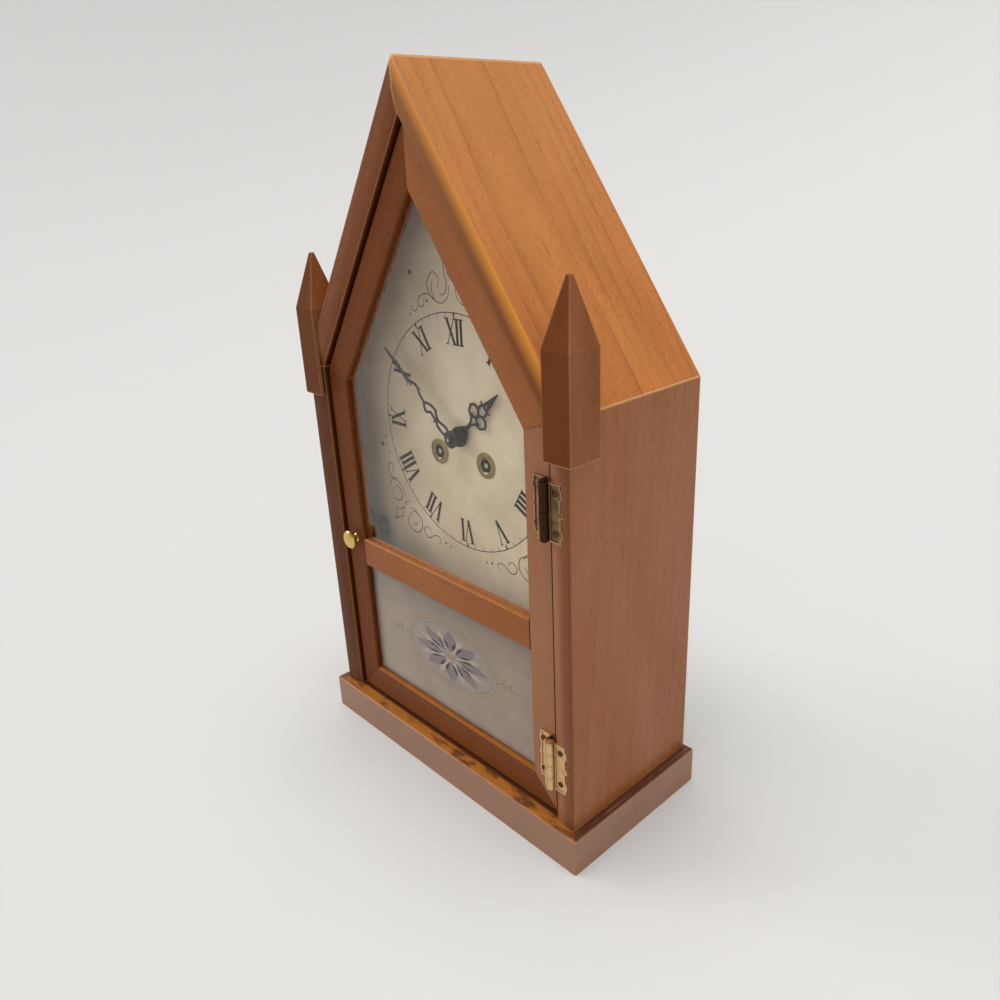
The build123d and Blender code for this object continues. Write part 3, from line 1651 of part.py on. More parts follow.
def main():
    """Build and write every piece."""
    os.makedirs("parts", exist_ok=True)
    places = train_places()

    case_screw_x = hinge_x + hinge_case_screw_reach
    door_screw_x = hinge_x - hinge_door_screw_reach
    case_places = hinge_screw_places(case_screw_x)
    door_places = hinge_screw_places(door_screw_x)
    plain_side = side_board(Part())
    save(plinth(), "base_plinth")
    save(mirrored(plain_side), "side_board_left")
    pilot = screw_holes(case_places, case_leaf_back)
    save(side_board(pilot + case_leaf_seat()), "side_board_right")
    roof = roof_board()
    save(mirrored(roof), "roof_board_left")
    save(roof, "roof_board_right")
    corner = spire()
    save(mirrored(corner), "spire_left")
    save(corner, "spire_right")

    plain_stile = door_stile(Part())
    save(mirrored(plain_stile), "door_stile_left")
    save(door_stile(screw_holes(door_places, door_front)), "door_stile_right")
    rafter = door_rafter()
    save(mirrored(rafter), "door_rafter_left")
    save(rafter, "door_rafter_right")
    save(door_bottom_rail(), "door_bottom_rail")
    save(door_mid_rail(), "door_mid_rail")
    grow = rebate_width - glass_clearance
    save(prism_y(upper_opening(grow), glass_front, glass_back), "door_glass_upper")
    save(prism_y(lower_opening(grow), glass_front, glass_back), "door_glass_lower")
    save(group(beads(upper_opening) + beads(lower_opening)), "glazing_beads")
    save(door_knob(), "door_knob")

    middles = (hinge_upper_height, hinge_lower_height)
    save(group(hinge_case_leaf(middle) for middle in middles), "hinge_leaves_case")
    save(group(hinge_door_leaf(middle) for middle in middles), "hinge_leaves_door")
    save(group(hinge_pin(middle) for middle in middles), "hinge_pins")
    case_face = case_leaf_back - hinge_leaf_thickness
    door_face = door_front - hinge_leaf_thickness
    save(group(
        dome_screw(place, case_face, hinge_leaf_thickness, screw_head_radius, screw_head_height,
                   screw_shank_length) for place in case_places
    ), "hinge_screws_case")
    save(group(
        dome_screw(place, door_face, hinge_leaf_thickness, screw_head_radius, screw_head_height,
                   screw_shank_length) for place in door_places
    ), "hinge_screws_door")
    save(magnet_catch(), "magnet_catch")
    save(catch_plate(), "catch_plate")

    bush = grommet_bore + grommet_tube_wall + grommet_fit
    plate_cut = dial_holes(dial_front, dial_back, bush)
    board_cut = dial_holes(dial_back, dial_board_back, bush)
    save(dial_sheet(dial_front, dial_back, plate_cut), "dial_plate")
    save(dial_sheet(dial_back, dial_board_back, board_cut), "dial_board")
    cleat_holes = screw_holes([place for place in dial_screw_places() if place[0] > 0],
                              dial_board_back)
    cleat = cleats() - cleat_holes
    save(group([cleat, mirrored(cleat)]), "dial_cleats")
    screw_reach = cleat_depth / 2
    save(group(
        dome_screw(place, dial_front, dial_plate_thickness + dial_board_thickness,
                   dial_screw_head_radius, dial_screw_head_height, screw_reach)
        for place in dial_screw_places()
    ), "dial_screws")
    save(group(grommet(place) for place in winding_places()), "winding_grommets")

    save(movement_plate(front_plate_front, plate_holes(places, True)) + minute_stud(places),
         "front_plate")
    save(movement_plate(inside_back, plate_holes(places, False)) + suspension_cock(places),
         "back_plate")
    save(group(pillars()), "plate_pillars")

    save(cannon_pinion(), "cannon_pinion")
    save(hour_wheel(places), "hour_wheel")
    save(minute_wheel(places), "minute_wheel")
    save(minute_hand(), "minute_hand")
    save(hour_hand(), "hour_hand")
    save(hand_nut(), "hand_nut")

    save(barrel(places["going_barrel"]), "going_barrel")
    save(barrel(places["strike_barrel"]), "strike_barrel")
    save(winding_arbor(places["going_barrel"]), "going_winding_arbor")
    save(winding_arbor(places["strike_barrel"]), "strike_winding_arbor")
    second = (second_teeth, barrel_module, second_layer)
    save(wheel_and_pinion(places["going_second"], second,
                          (barrel_pinion_teeth, barrel_module, barrel_layer,
                           places["going_barrel"], barrel_teeth)), "going_second_wheel")
    save(wheel_and_pinion(places["strike_second"], (second_teeth, strike_module,
                                                    strike_second_layer),
                          (barrel_pinion_teeth, barrel_module, barrel_layer,
                           places["strike_barrel"], barrel_teeth)), "strike_second_wheel")
    save(centre_wheel(places), "centre_wheel")
    save(wheel_and_pinion(places["third"], (third_teeth, third_module, third_layer),
                          (third_pinion_teeth, centre_module, centre_layer, places["centre"],
                           centre_teeth)), "third_wheel")
    save(escape_wheel(places), "escape_wheel")
    save(pin_wheel(places), "strike_pin_wheel")
    save(wheel_and_pinion(places["warning"], (warning_teeth, warning_module, warning_layer),
                          (warning_pinion_teeth, pin_wheel_module, pin_wheel_layer,
                           places["pin"], pin_wheel_teeth)), "strike_warning_wheel")
    save(fly(places), "strike_fly")
    save(verge(places), "verge_and_crutch")
    save(group(pendulum(places)), "pendulum")
    save(hammer(places), "strike_hammer")
    iron, rods = sounding_rods(places)
    save(iron, "sounding_block")
    save(group(rods), "sounding_rods")

    save(back_door(), "back_door")
    save(back_gable(), "back_gable")
    save(group(back_hinge_case(middle) for middle in back_hinge_heights()), "back_hinges_case")
    save(group(back_hinge_door(middle) for middle in back_hinge_heights()), "back_hinges_door")
    save(back_knob(), "back_door_knob")


main()
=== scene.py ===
"""Dresses the steeple clock: stained cherry boards under lacquer, brass fittings, a printed dial,
black hands, clear and painted glass, the movement's metals, and a plain studio.

Metres. X runs to the viewer's right, Y to the back, Z up, with the origin under the plinth."""

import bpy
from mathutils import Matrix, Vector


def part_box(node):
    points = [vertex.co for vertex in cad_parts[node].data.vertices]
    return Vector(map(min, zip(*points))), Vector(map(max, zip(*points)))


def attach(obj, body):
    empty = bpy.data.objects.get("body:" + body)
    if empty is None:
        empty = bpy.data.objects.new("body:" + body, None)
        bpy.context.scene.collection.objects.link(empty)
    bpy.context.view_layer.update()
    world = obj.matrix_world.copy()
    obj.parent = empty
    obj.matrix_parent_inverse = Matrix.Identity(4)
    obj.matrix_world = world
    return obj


bl_info = {
    "name": "Steeple Clock",
    "version": (1, 0, 0),
    "blender": (4, 5, 0),
    "location": "View3D > Sidebar > Steeple Clock",
    "description": "Finishes, prints and stages a steeple clock on its packed frame",
    "category": "Object",
}

import math
from functools import partial

import bpy
import numpy as np
from mathutils import Matrix, Vector

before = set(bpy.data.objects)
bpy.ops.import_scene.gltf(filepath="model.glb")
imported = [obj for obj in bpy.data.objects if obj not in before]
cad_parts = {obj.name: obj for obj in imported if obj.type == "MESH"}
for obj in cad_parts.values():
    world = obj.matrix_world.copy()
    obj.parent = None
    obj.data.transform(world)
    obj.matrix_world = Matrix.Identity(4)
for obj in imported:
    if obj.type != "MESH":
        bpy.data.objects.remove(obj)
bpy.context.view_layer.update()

MM = 0.001

# Straight pieces in a curve between two of its points, and in whole rounds
CURVE_STEPS = 8
DOT_STEPS = 16
BUTTON_STEPS = 32
OVAL_STEPS = 120
CIRCLE_STEPS = 180


# Colours, nodes and meshes

def linear(code):
    """Linear RGBA of an sRGB hex colour."""
    parts = [int(code[place:place + 2], 16) / 255 for place in (1, 3, 5)]
    light = [c / 12.92 if c <= 0.04045 else ((c + 0.055) / 1.055) ** 2.4 for c in parts]
    return (*light, 1.0)


def add(tree, kind, inputs=None, out=0, stops=None, **settings):
    """Adds one node and gives back its output out, or all its outputs where out is None.

    Settings go on the node, stops on its colour ramp, and each input gets a value on its socket
    or a link from another node's socket. By number, a Math node's inputs are its values, and a
    MapRange node's are the value, the two ends of its range and the two ends it is carried to."""
    made = tree.nodes.new("ShaderNode" + kind)
    for name, value in settings.items():
        setattr(made, name, value)
    for place, (position, colour) in enumerate(stops or ()):
        ramp = made.color_ramp.elements
        stop = ramp[place] if place < len(ramp) else ramp.new(position)
        stop.position, stop.color = position, colour
    for name, value in (inputs or {}).items():
        if isinstance(value, bpy.types.NodeSocket):
            tree.links.new(value, made.inputs[name])
        else:
            made.inputs[name].default_value = value
    return made.outputs if out is None else made.outputs[out]


# A Mix node of colours has its share at input 0, its colours at 6 and 7 and its result at 2
COLOURS = {"data_type": "RGBA", "out": 2}


def new_finish(name):
    """An empty node material, the function that adds nodes to it, and its object coordinates."""
    finish = bpy.data.materials.new(name)
    finish.use_nodes = True
    finish.node_tree.nodes.clear()
    node = partial(add, finish.node_tree)
    return finish, node, node("TexCoord", out="Object")


def wear(finish, *nodes):
    """Gives a finish to the material slots of CAD nodes."""
    for name in nodes:
        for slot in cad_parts[name].material_slots:
            slot.material = finish


def middle(name):
    """Middle of the box round a CAD node."""
    low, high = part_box(name)
    return (low + high) / 2


def closed_bar(rows, looped=False):
    """Closed skin over a grid of points, rows along the bar and columns round it.

    Each row is a ring that faces along the bar, so neighbours in both directions make outward
    quads. Open ends get a cap, and a looped bar joins its last row to its first."""
    rows = np.asarray(rows, dtype=float)
    turn = np.cross(rows[0], np.roll(rows[0], -1, axis=0)).sum(axis=0)
    if turn @ (rows[1].mean(axis=0) - rows[0].mean(axis=0)) < 0:
        rows = rows[:, ::-1]
    count, round_ = rows.shape[:2]
    grid = np.arange(count * round_).reshape(count, round_)
    after = np.roll(grid, -1, axis=0) if looped else grid[1:]
    here = grid if looped else grid[:-1]
    quads = np.stack([here, np.roll(here, -1, axis=1), np.roll(after, -1, axis=1), after], axis=2)
    faces = quads.reshape(-1, 4).tolist()
    if not looped:
        faces += [grid[0, ::-1].tolist(), grid[-1].tolist()]
    return rows.reshape(-1, 3), faces


def upright(outline, depth):
    """Points of an X-Z outline at one depth."""
    outline = np.asarray(outline, dtype=float)
    return np.stack([outline[..., 0], np.full(outline.shape[:-1], depth), outline[..., 1]], axis=-1)


def ribbon(path, widths, front, back, looped=False):
    """Flat bar along a path in the X-Z plane: half a width along the path's normal gives each
    edge, and each edge stands at the front and at the back depth."""
    path = np.asarray(path, dtype=float)
    if looped:
        steps = np.roll(path, -1, axis=0) - np.roll(path, 1, axis=0)
    else:
        steps = np.gradient(path, axis=0)
    across = np.stack([-steps[:, 1], steps[:, 0]], axis=1)
    across *= np.asarray(widths).reshape(-1, 1) / 2 / np.linalg.norm(across, axis=1, keepdims=True)
    left, right = path + across, path - across
    return closed_bar(np.stack([
        upright(left, front), upright(right, front), upright(right, back), upright(left, back),
    ], axis=1), looped)


def slab(outline, front, back):
    """Flat piece with an X-Z outline between two depths."""
    return closed_bar(np.stack([upright(outline, front), upright(outline, back)]))


def ellipse(centre, across, up, steps):
    """Points round an ellipse: (a cos t, b sin t), moved to its centre."""
    t = np.linspace(0, 2 * math.pi, steps, endpoint=False)
    return np.stack([across * np.cos(t), up * np.sin(t)], axis=1) + np.asarray(centre)


def smooth(points):
    """Curve through a few points: between two of them a cubic whose slopes at its ends follow
    the chord of each end's neighbours (a Catmull-Rom spline)."""
    p = np.asarray(points, dtype=float)
    p = np.vstack([2 * p[0] - p[1], p, 2 * p[-1] - p[-2]])
    t = np.linspace(0, 1, CURVE_STEPS, endpoint=False)[:, None]
    spans = [
        (2 * b + (c - a) * t
         + (2 * a - 5 * b + 4 * c - d) * t ** 2
         + (3 * b - a - 3 * c + d) * t ** 3) / 2
        for a, b, c, d in zip(p, p[1:], p[2:], p[3:])
    ]
    return np.vstack(spans + [p[-2:-1]])


def new_piece(name, shapes, finish, body):
    """Joins shapes (points, faces) into one object that rides on a body."""
    points, faces, first = [], [], 0
    for shape_points, shape_faces in shapes:
        points.append(shape_points)
        faces += [[corner + first for corner in face] for face in shape_faces]
        first += len(shape_points)
    mesh = bpy.data.meshes.new(name)
    mesh.from_pydata(np.vstack(points).tolist(), [], faces)
    mesh.materials.append(finish)
    mesh.update()
    piece = bpy.data.objects.new(name, mesh)
    bpy.context.scene.collection.objects.link(piece)
    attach(piece, body)


# Settings

def colour(name, description, code):
    """A colour property whose default is an sRGB hex value."""
    return bpy.props.FloatVectorProperty(
        name=name, description=description, subtype="COLOR", size=4, min=0, max=1,
        default=linear(code),
    )


def length(name, description, millimetres):
    """A length property whose default is in millimetres."""
    return bpy.props.FloatProperty(
        name=name, description=description, subtype="DISTANCE", unit="LENGTH", min=0,
        precision=5, default=millimetres * MM,
    )


class ClockWood(bpy.types.PropertyGroup):
    """Stained cherry of the case and the door."""
    light: colour("Light wood", "Early wood of a growth ring", "#CA7D3C")
    deep: colour("Deep wood", "Darker stain between the light streaks", "#B76C31")
    late: colour("Late wood", "Thin dark line that ends a growth ring", "#763A16")
    pore: colour("Pores", "Stain gathered in the open pores", "#5E2C10")
    # dull is painted sheen: the grey of the lacquer's reflection on upright faces and fronts, and
    # the painted highlight line along the plinth's side ledges
    dull: colour("Dull lacquer", "Greyed lacquer of upright faces", "#8E7360")
    # rubbed is partly wear and partly a painted highlight on the arrises; it also paints the paler
    # head of a board
    rubbed: colour("Rubbed arris", "Paler wood where an edge is rubbed", "#DDA56C")
    # This dark colour is painted shade on the plinth's side ledges, on the ledge before the door
    # and in the door's recess, and the real dark arrises of the door parts
    dark_stain_and_shade: colour("Pooled stain", "Dark stain and dust on ledges and in the door's recess",
                   "#431B0C")
    # amber is painted top light: the brighter upward faces of the plinth's ledges and of the door's
    # upper lips
    amber: colour("Amber lacquer", "Thick yellowed lacquer on ledges and upper lips", "#B06C22")
    gap: colour("Joint", "Black-brown shadow of the joint beside the door", "#1C0908")
    lit: colour("Lit lacquer", "Bright amber of the roof's front edge", "#DC8C30")
    # hollow is painted shade: the inner side of the roof's front edge, and a band on the right
    # board's front edge
    hollow: colour("Hollow edge", "Darker stain towards the inner side of an edge", "#6A3612")
    bare: colour("Bare inside", "Unfinished wood inside the case", "#A89A94")
    ring_spacing: length("Ring spacing", "Distance between growth rings", 8.5)
    streak_width: length("Streak width", "Width of a fibre streak", 1.0)
    pore_width: length("Pore width", "Width of a pore, drawn as coarse as it has to show", 0.5)
    panel: colour("Back panel", "Brown fibreboard of the back", "#6E4A30")
    panel_deep: colour("Back panel streaks", "Darker fibres of the back", "#553722")
    batten: colour("Battens", "Unfinished softwood inside the case", "#B68A5A")
    batten_deep: colour("Batten streaks", "Darker grain of the softwood", "#94693E")


class ClockMetal(bpy.types.PropertyGroup):
    """Brass, steel and iron."""
    bright: colour("Bright brass", "Polished brass of the knob", "#E0BE6E")
    worn: colour("Worn brass", "Brass of the hinges", "#E4BE8C")
    bush: colour("Winding bush", "Greenish brass of the winding holes", "#AC9A68")
    tarnish: colour("Tarnish", "Brown film in the recesses of old brass", "#472C1D")
    plate: colour("Movement brass", "Brushed brass of plates and wheels", "#CFA552")
    steel: colour("Steel", "Polished steel of arbors and pinions", "#B4B2AE")
    iron: colour("Iron", "Blackened iron of the sounding block", "#2E2C2B")
    dark_screw: colour("Dark screw", "Browned brass of the hinge screws", "#6A4A2E")
    catch: colour("Catch", "Dark moulded plastic of the magnetic catch", "#1C1613")


class ClockDial(bpy.types.PropertyGroup):
    """Printed dial and its hands."""
    card: colour("Dial", "Cream lacquer of the dial sheet", "#F7E5C9")
    age: colour("Dial age", "Warmer cloud in the old lacquer", "#DEC9A6")
    ink: colour("Ink", "Black-brown ink of the numerals", "#15100A")
    fine_ink: colour("Fine ink", "Thinner ink of the scrollwork", "#3A3022")
    hand: colour("Hands", "Black paint of the hands", "#110E10")
    ring_radius: length("Ring radius", "Middle of the minute circle", 84.25)
    ring_width: length("Ring width", "Width of the minute circle", 0.65)
    hour_mark: length("Hour mark", "Length of an hour mark", 3.3)
    hour_mark_width: length("Hour mark width", "Width of an hour mark at the circle", 2.0)
    minute_mark: length("Minute mark", "Length of a minute mark", 2.4)
    minute_mark_width: length("Minute mark width", "Width of a minute mark", 0.35)
    numeral_foot: length("Numeral foot", "Radius at the feet of the numerals", 62.8)
    numeral_height: length("Numeral height", "Height of the numerals", 17.8)
    thick_stroke: length("Thick stroke", "Width of a numeral's thick strokes", 2.5)
    thin_stroke: length("Thin stroke", "Width of a numeral's thin strokes and serifs", 0.85)
    scroll_stroke: length("Scroll stroke", "Widest part of a scrollwork line", 0.78)
    ink_depth: length("Ink depth", "How proud the ink stands of the dial", 0.04)


class ClockGlass(bpy.types.PropertyGroup):
    """Clear upper pane and painted lower pane."""
    tint: colour("Glass", "Faint tint of the window glass", "#FBFBF9")
    mirrored: colour("Reflection", "Tint of what the panes mirror", "#A08C82")
    ground: colour("Ground", "Grey-beige paint behind the lower pane", "#A48F7F")
    cloud: colour("Ground cloud", "Uneven patches of the ground", "#998373")
    field: colour("Field", "Ground of the oval", "#A29288")
    field_thin: colour("Thin field", "Where the oval's ground is thin", "#958579")
    rim: colour("Rim", "Ochre rim of the oval", "#A4854C")
    rim_thin: colour("Thin rim", "Where the ochre is thin", "#93805A")
    violet: colour("Violet grey", "Darker petals", "#796668")
    violet_thin: colour("Thin violet", "Where the violet grey is thin", "#7C6B74")
    cream: colour("Cream", "Lighter petals", "#B2A292")
    cream_thin: colour("Thin cream", "Where the cream is thin", "#B0A596")
    line: colour("Line", "Thin drawing lines", "#6B5D52")
    line_thin: colour("Thin line", "Where a drawing line is thin", "#6A6058")
    oval_width: length("Oval width", "Half width of the oval", 50.0)
    oval_height: length("Oval height", "Half height of the oval", 27.0)
    paint_depth: length("Paint depth", "Thickness of one coat of paint", 0.04)


class ClockStage(bpy.types.PropertyGroup):
    """Floor, light and camera."""
    floor: colour("Floor", "Pale studio floor", "#CDCCCA")
    sky: bpy.props.FloatProperty(name="Sky", description="Strength of the white surroundings",
                                 default=0.3, min=0)
    backdrop: bpy.props.FloatProperty(
        name="Backdrop", description="Strength of the surroundings as the camera sees them",
        default=0.6, min=0)
    overhead: bpy.props.FloatProperty(name="Overhead", description="Strength of the soft top light",
                                      default=2.7, min=0)
    side: bpy.props.FloatProperty(name="Side", description="Strength of the light from the left",
                                  default=0.9, min=0)


# Wood

# Cells of the patterns in the cherry, across and along the grain
RING_DRIFT_CELL = (46 * MM, 240 * MM)
RING_STRENGTH_CELL = (9 * MM, 170 * MM)
PATCH_CELL = (34 * MM, 110 * MM)
BLOT_CELL = (9 * MM, 24 * MM)
STREAK_LENGTH = 22 * MM
PORE_LENGTH = 5 * MM

# How far slow noise pushes the growth rings aside, and how the tree's heart leans from the board
RING_DRIFT = 13 * MM
HEART_LEAN = (math.radians(2.2), math.radians(0.8), 0)

# Darkness across one growth ring: faint, then rising to the late wood's thin line
RING_SHADES = ((0.0, 0.1), (0.08, 0.0), (0.55, 0.1), (0.9, 0.42), (0.985, 1.0))

# Places of the marks on the case
ARRIS_WIDTH = 1.1 * MM
# Painted shade on the ledge starts this far ahead of the door, and the painted highlight line runs
# this far in from the plinth's sides
LEDGE_LINE_AHEAD = 2.2 * MM
HIGHLIGHT_LINE_INSET = 3.6 * MM
JOINT_WIDTH = 3.5 * MM


def fibres(node, place, across, along, detail, out="Fac"):
    """Noise drawn out along the grain: its cells are across wide on X and Y and along long on Z."""
    cells = node("Mapping", {"Vector": place, "Scale": (1 / across, 1 / across, 1 / along)})
    return node("TexNoise", {
        "Vector": cells, "Scale": 1.0, "Detail": detail, "Roughness": 0.58,
    }, out)


def mitred(node, place, board):
    """Coordinates of a frame of boards mitred at its corners, and where its side boards are.

    A point that lies nearer to a side face than to the front or back face is on a side board,
    and there X and Y change places, so that every board's grain runs along it."""
    low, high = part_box(board)
    across = node("SeparateXYZ", {"Vector": place}, out=None)
    off_middle = node("Math", {0: across["X"]}, operation="ABSOLUTE")
    from_side = node("Math", {0: high.x, 1: off_middle}, operation="SUBTRACT")
    from_front = node("Math", {0: across["Y"], 1: low.y}, operation="SUBTRACT")
    from_back = node("Math", {0: high.y, 1: across["Y"]}, operation="SUBTRACT")
    nearer = node("Math", {0: from_front, 1: from_back}, operation="MINIMUM")
    on_side = node("Math", {0: from_side, 1: nearer}, operation="LESS_THAN")
    swapped = node("CombineXYZ", {"X": across["Y"], "Y": across["X"], "Z": across["Z"]})
    laid = node("Mix", {0: on_side, 4: place, 5: swapped}, out=1, data_type="VECTOR")
    return laid, on_side


def stain(share):
    """Darkening tint that leaves a share of the red light and less of the green and blue: a
    stain's, and painted shade where a board's share is lowered for it.
    """
    return share, share ** 1.2, share ** 1.4, 1.0


# What a board's look holds. lean is the angle of its grain from upright, and across and deep say
# how far the tree's heart lies from the board's middle, in mm. tone is the share of light that the
# stain leaves, partly the stain and partly painted shade, and front the further share on the front
# face, painted shade. dull and dull_front are the painted grey sheen on side faces and on the
# front, figure the strength of the growth lines and pores that of the pores. gloss is the
# lacquer's. faded makes the head of the board paler, lip paints its upper edges amber as painted
# top light, and rubbed says how far the arrises take the arris colour, partly wear and partly
# painted highlight. The rest are marks of one or two boards: mitred, glowing with its painted light
# and shade, joint with its painted shadow line, and bare_inside with the painted shade of its
# recess.

def cherry(board, look, settings):
    """Cherry board, planed, stained red-brown and lacquered satin.

    Growth lines are shells round the tree's heart that slow noise bends, and fine streaks and short
    dark pores run along the grain. A painted grey sheen lies on the upright faces, painted top
    light turns the ledges and upper lips amber, painted shade darkens the fronts, the recesses and
    the strip before the door, arrises are rubbed pale with a painted highlight or filled dark, and
    thin lacquer gives a soft sheen that matt shadows break."""
    finish, node, place = new_finish("lacquered_cherry_" + board)
    facing = node("SeparateXYZ", {"Vector": node("TexCoord", out="Normal")}, out=None)
    spot = node("SeparateXYZ", {"Vector": place}, out=None)
    foot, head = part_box(board)
    laid, on_side = mitred(node, place, board) if look.get("mitred") else (place, None)

    # Growth rings
    turn = Matrix.Rotation(-look["lean"], 3, "Y")
    grain = node("Mapping", {
        "Vector": laid, "Rotation": (0, -look["lean"], 0), "Location": -(turn @ middle(board)),
    })
    heart = node("Mapping", {
        "Vector": grain, "Rotation": HEART_LEAN,
        "Location": (look["across"] * MM, look["deep"] * MM, 0),
    })
    drift = fibres(node, grain, *RING_DRIFT_CELL, 1.5, out="Color")
    wander = node("VectorMath", {0: drift, 1: (0.5, 0.5, 0.5)}, operation="SUBTRACT")
    bent = node("VectorMath", {
        0: wander, 1: (RING_DRIFT, RING_DRIFT, 0.0), 2: heart,
    }, operation="MULTIPLY_ADD")
    rings = node("TexWave", {
        "Vector": bent, "Scale": 2 * math.pi / (20 * settings.ring_spacing),
        "Distortion": 0.35, "Detail": 2.0, "Detail Scale": 0.5,
    }, out="Fac", wave_type="RINGS", rings_direction="Z", wave_profile="SAW")
    line = node("ValToRGB", {"Fac": rings}, stops=[
        (position, (shade, shade, shade, 1)) for position, shade in RING_SHADES
    ])
    strength = fibres(node, grain, *RING_STRENGTH_CELL, 1.0)
    held = node("MapRange", {0: strength, 1: 0.34, 2: 0.6, 3: 0.3, 4: 1.0})
    late = node("Math", {0: line, 1: held}, operation="MULTIPLY")
    ringed = node("Math", {0: late, 1: look["figure"]}, operation="MULTIPLY")

    # Streaks, patches and pores under the stain
    streaks = fibres(node, grain, settings.streak_width, STREAK_LENGTH, 3.0)
    pores = fibres(node, grain, settings.pore_width, PORE_LENGTH, 1.0)
    patch = fibres(node, grain, *PATCH_CELL, 3.0)
    uneven = node("Math", {0: streaks, 1: 0.5, 2: patch}, operation="MULTIPLY_ADD")
    lightness = node("MapRange", {0: uneven, 1: 0.5, 2: 1.0})
    open_pore = node("MapRange", {0: pores, 1: 0.57, 2: 0.72})
    filled = node("Math", {0: open_pore, 1: look.get("pores", 0.42)}, operation="MULTIPLY")
    colours = node("Mix", {0: lightness, 6: settings.deep, 7: settings.light}, **COLOURS)
    colours = node("Mix", {0: ringed, 6: colours, 7: settings.late}, **COLOURS)
    colours = node("Mix", {0: filled, 6: colours, 7: settings.pore}, **COLOURS)
    forward = node("Math", {0: facing["Y"], 1: -0.6}, operation="LESS_THAN")
    # The board's tone, part stain and part painted shade, and a further darkening of the front
    # face, painted shade
    for share, tone in ((1.0, look["tone"]), (forward, look.get("front", 1.0))):
        colours = node("Mix", {0: share, 6: colours, 7: stain(tone)}, **COLOURS,
                       blend_type="MULTIPLY")

    # Painted grey sheen: mottled on the side faces, and on the front by dull_front
    sideways = node("Math", {0: facing["X"]}, operation="ABSOLUTE")
    mottle = node("MapRange", {
        0: patch, 1: 0.36, 2: 0.64, 3: look["dull"] * 0.35, 4: look["dull"] * 1.65,
    })
    side_sheen = node("Math", {0: sideways, 1: mottle}, operation="MULTIPLY")
    # film is the share of that painted grey sheen
    film = node("Math", {
        0: forward, 1: look.get("dull_front", 0.0), 2: side_sheen,
    }, operation="MULTIPLY_ADD")
    colours = node("Mix", {0: film, 6: colours, 7: settings.dull}, **COLOURS)

    gloss, matt = look.get("gloss", 0.25), None
    if look.get("glowing"):
        # Front edge, painted light and shade: darker on its hollow inner side and lit amber on its
        # outer side
        level = node("SeparateXYZ", {"Vector": grain}, out="X")
        outer = node("MapRange", {0: level, 1: -8 * MM, 2: 1 * MM})
        band = node("Mix", {0: outer, 6: settings.hollow, 7: settings.lit}, **COLOURS)
        matt = node("Math", {0: forward, 1: look["glowing"]}, operation="MULTIPLY")
        colours = node("Mix", {0: matt, 6: colours, 7: band}, **COLOURS)
    # The board turns paler towards its head
    if look.get("faded"):
        rise = node("MapRange", {0: spot["Z"], 1: foot.z, 2: head.z, 4: look["faded"]})
        colours = node("Mix", {0: rise, 6: colours, 7: settings.rubbed}, **COLOURS)
    # Painted top light: upward faces of the upper lips turn amber
    if look.get("lip"):
        upward = node("MapRange", {0: facing["Z"], 1: 0.35, 2: 0.7})
        lip = node("Math", {0: upward, 1: look["lip"]}, operation="MULTIPLY")
        colours = node("Mix", {0: lip, 6: colours, 7: settings.amber}, **COLOURS)
    if on_side:
        # Ledge of the plinth: amber of painted top light with dark blots, painted shade on its side
        # ledges and on a strip in front of the door, and a painted highlight line along its side
        # ledges
        blot = fibres(node, grain, *BLOT_CELL, 3.0)
        dark_blots = node("MapRange", {0: blot, 1: 0.46, 2: 0.58, 3: 0.1, 4: 0.85})
        shadow_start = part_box("door_bottom_rail")[0].y - LEDGE_LINE_AHEAD
        under_door = node("Math", {0: spot["Y"], 1: shadow_start}, operation="GREATER_THAN")
        darker = node("Math", {0: on_side, 1: dark_blots}, operation="MAXIMUM")
        blots_and_shade = node("Math", {0: darker, 1: under_door}, operation="MAXIMUM")
        upward = node("MapRange", {0: facing["Z"], 1: 0.6, 2: 0.95, 4: 0.9})
        reach = node("Math", {0: spot["X"]}, operation="ABSOLUTE")
        past_line = node("Math", {0: reach, 1: head.x - HIGHLIGHT_LINE_INSET}, operation="SUBTRACT")
        off_line = node("Math", {0: past_line}, operation="ABSOLUTE")
        on_line = node("MapRange", {0: off_line, 1: 0.9 * MM, 2: 0.3 * MM, 4: 0.5})
        broken = node("MapRange", {0: blot, 1: 0.42, 2: 0.55})
        # The painted highlight line, broken by the blots
        highlight_line = node("Math", {0: on_line, 1: broken}, operation="MULTIPLY")
        side_highlight_line = node("Math", {0: highlight_line, 1: on_side}, operation="MULTIPLY")
        ledge = node("Mix", {0: blots_and_shade, 6: settings.amber, 7: settings.dark_stain_and_shade}, **COLOURS)
        ledge = node("Mix", {0: side_highlight_line, 6: ledge, 7: settings.dull}, **COLOURS)
        colours = node("Mix", {0: upward, 6: colours, 7: ledge}, **COLOURS)
    if look.get("joint"):
        # Front edge beside the door: a painted shadow line at the stile and a darker outer band,
        # painted shade
        reach = node("Math", {0: spot["X"]}, operation="ABSOLUTE")
        line_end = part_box("door_stile_right")[1].x + JOINT_WIDTH
        near = node("Math", {0: reach, 1: line_end}, operation="LESS_THAN")
        outer = node("MapRange", {0: spot["X"], 1: head.x - 10 * MM, 2: head.x - 5 * MM, 4: 0.75})
        band = node("Math", {0: outer, 1: forward}, operation="MULTIPLY")
        matt = node("Math", {0: near, 1: forward}, operation="MULTIPLY")
        colours = node("Mix", {0: band, 6: colours, 7: settings.hollow}, **COLOURS)
        colours = node("Mix", {0: matt, 6: colours, 7: settings.gap}, **COLOURS)
    if look.get("bare_inside"):
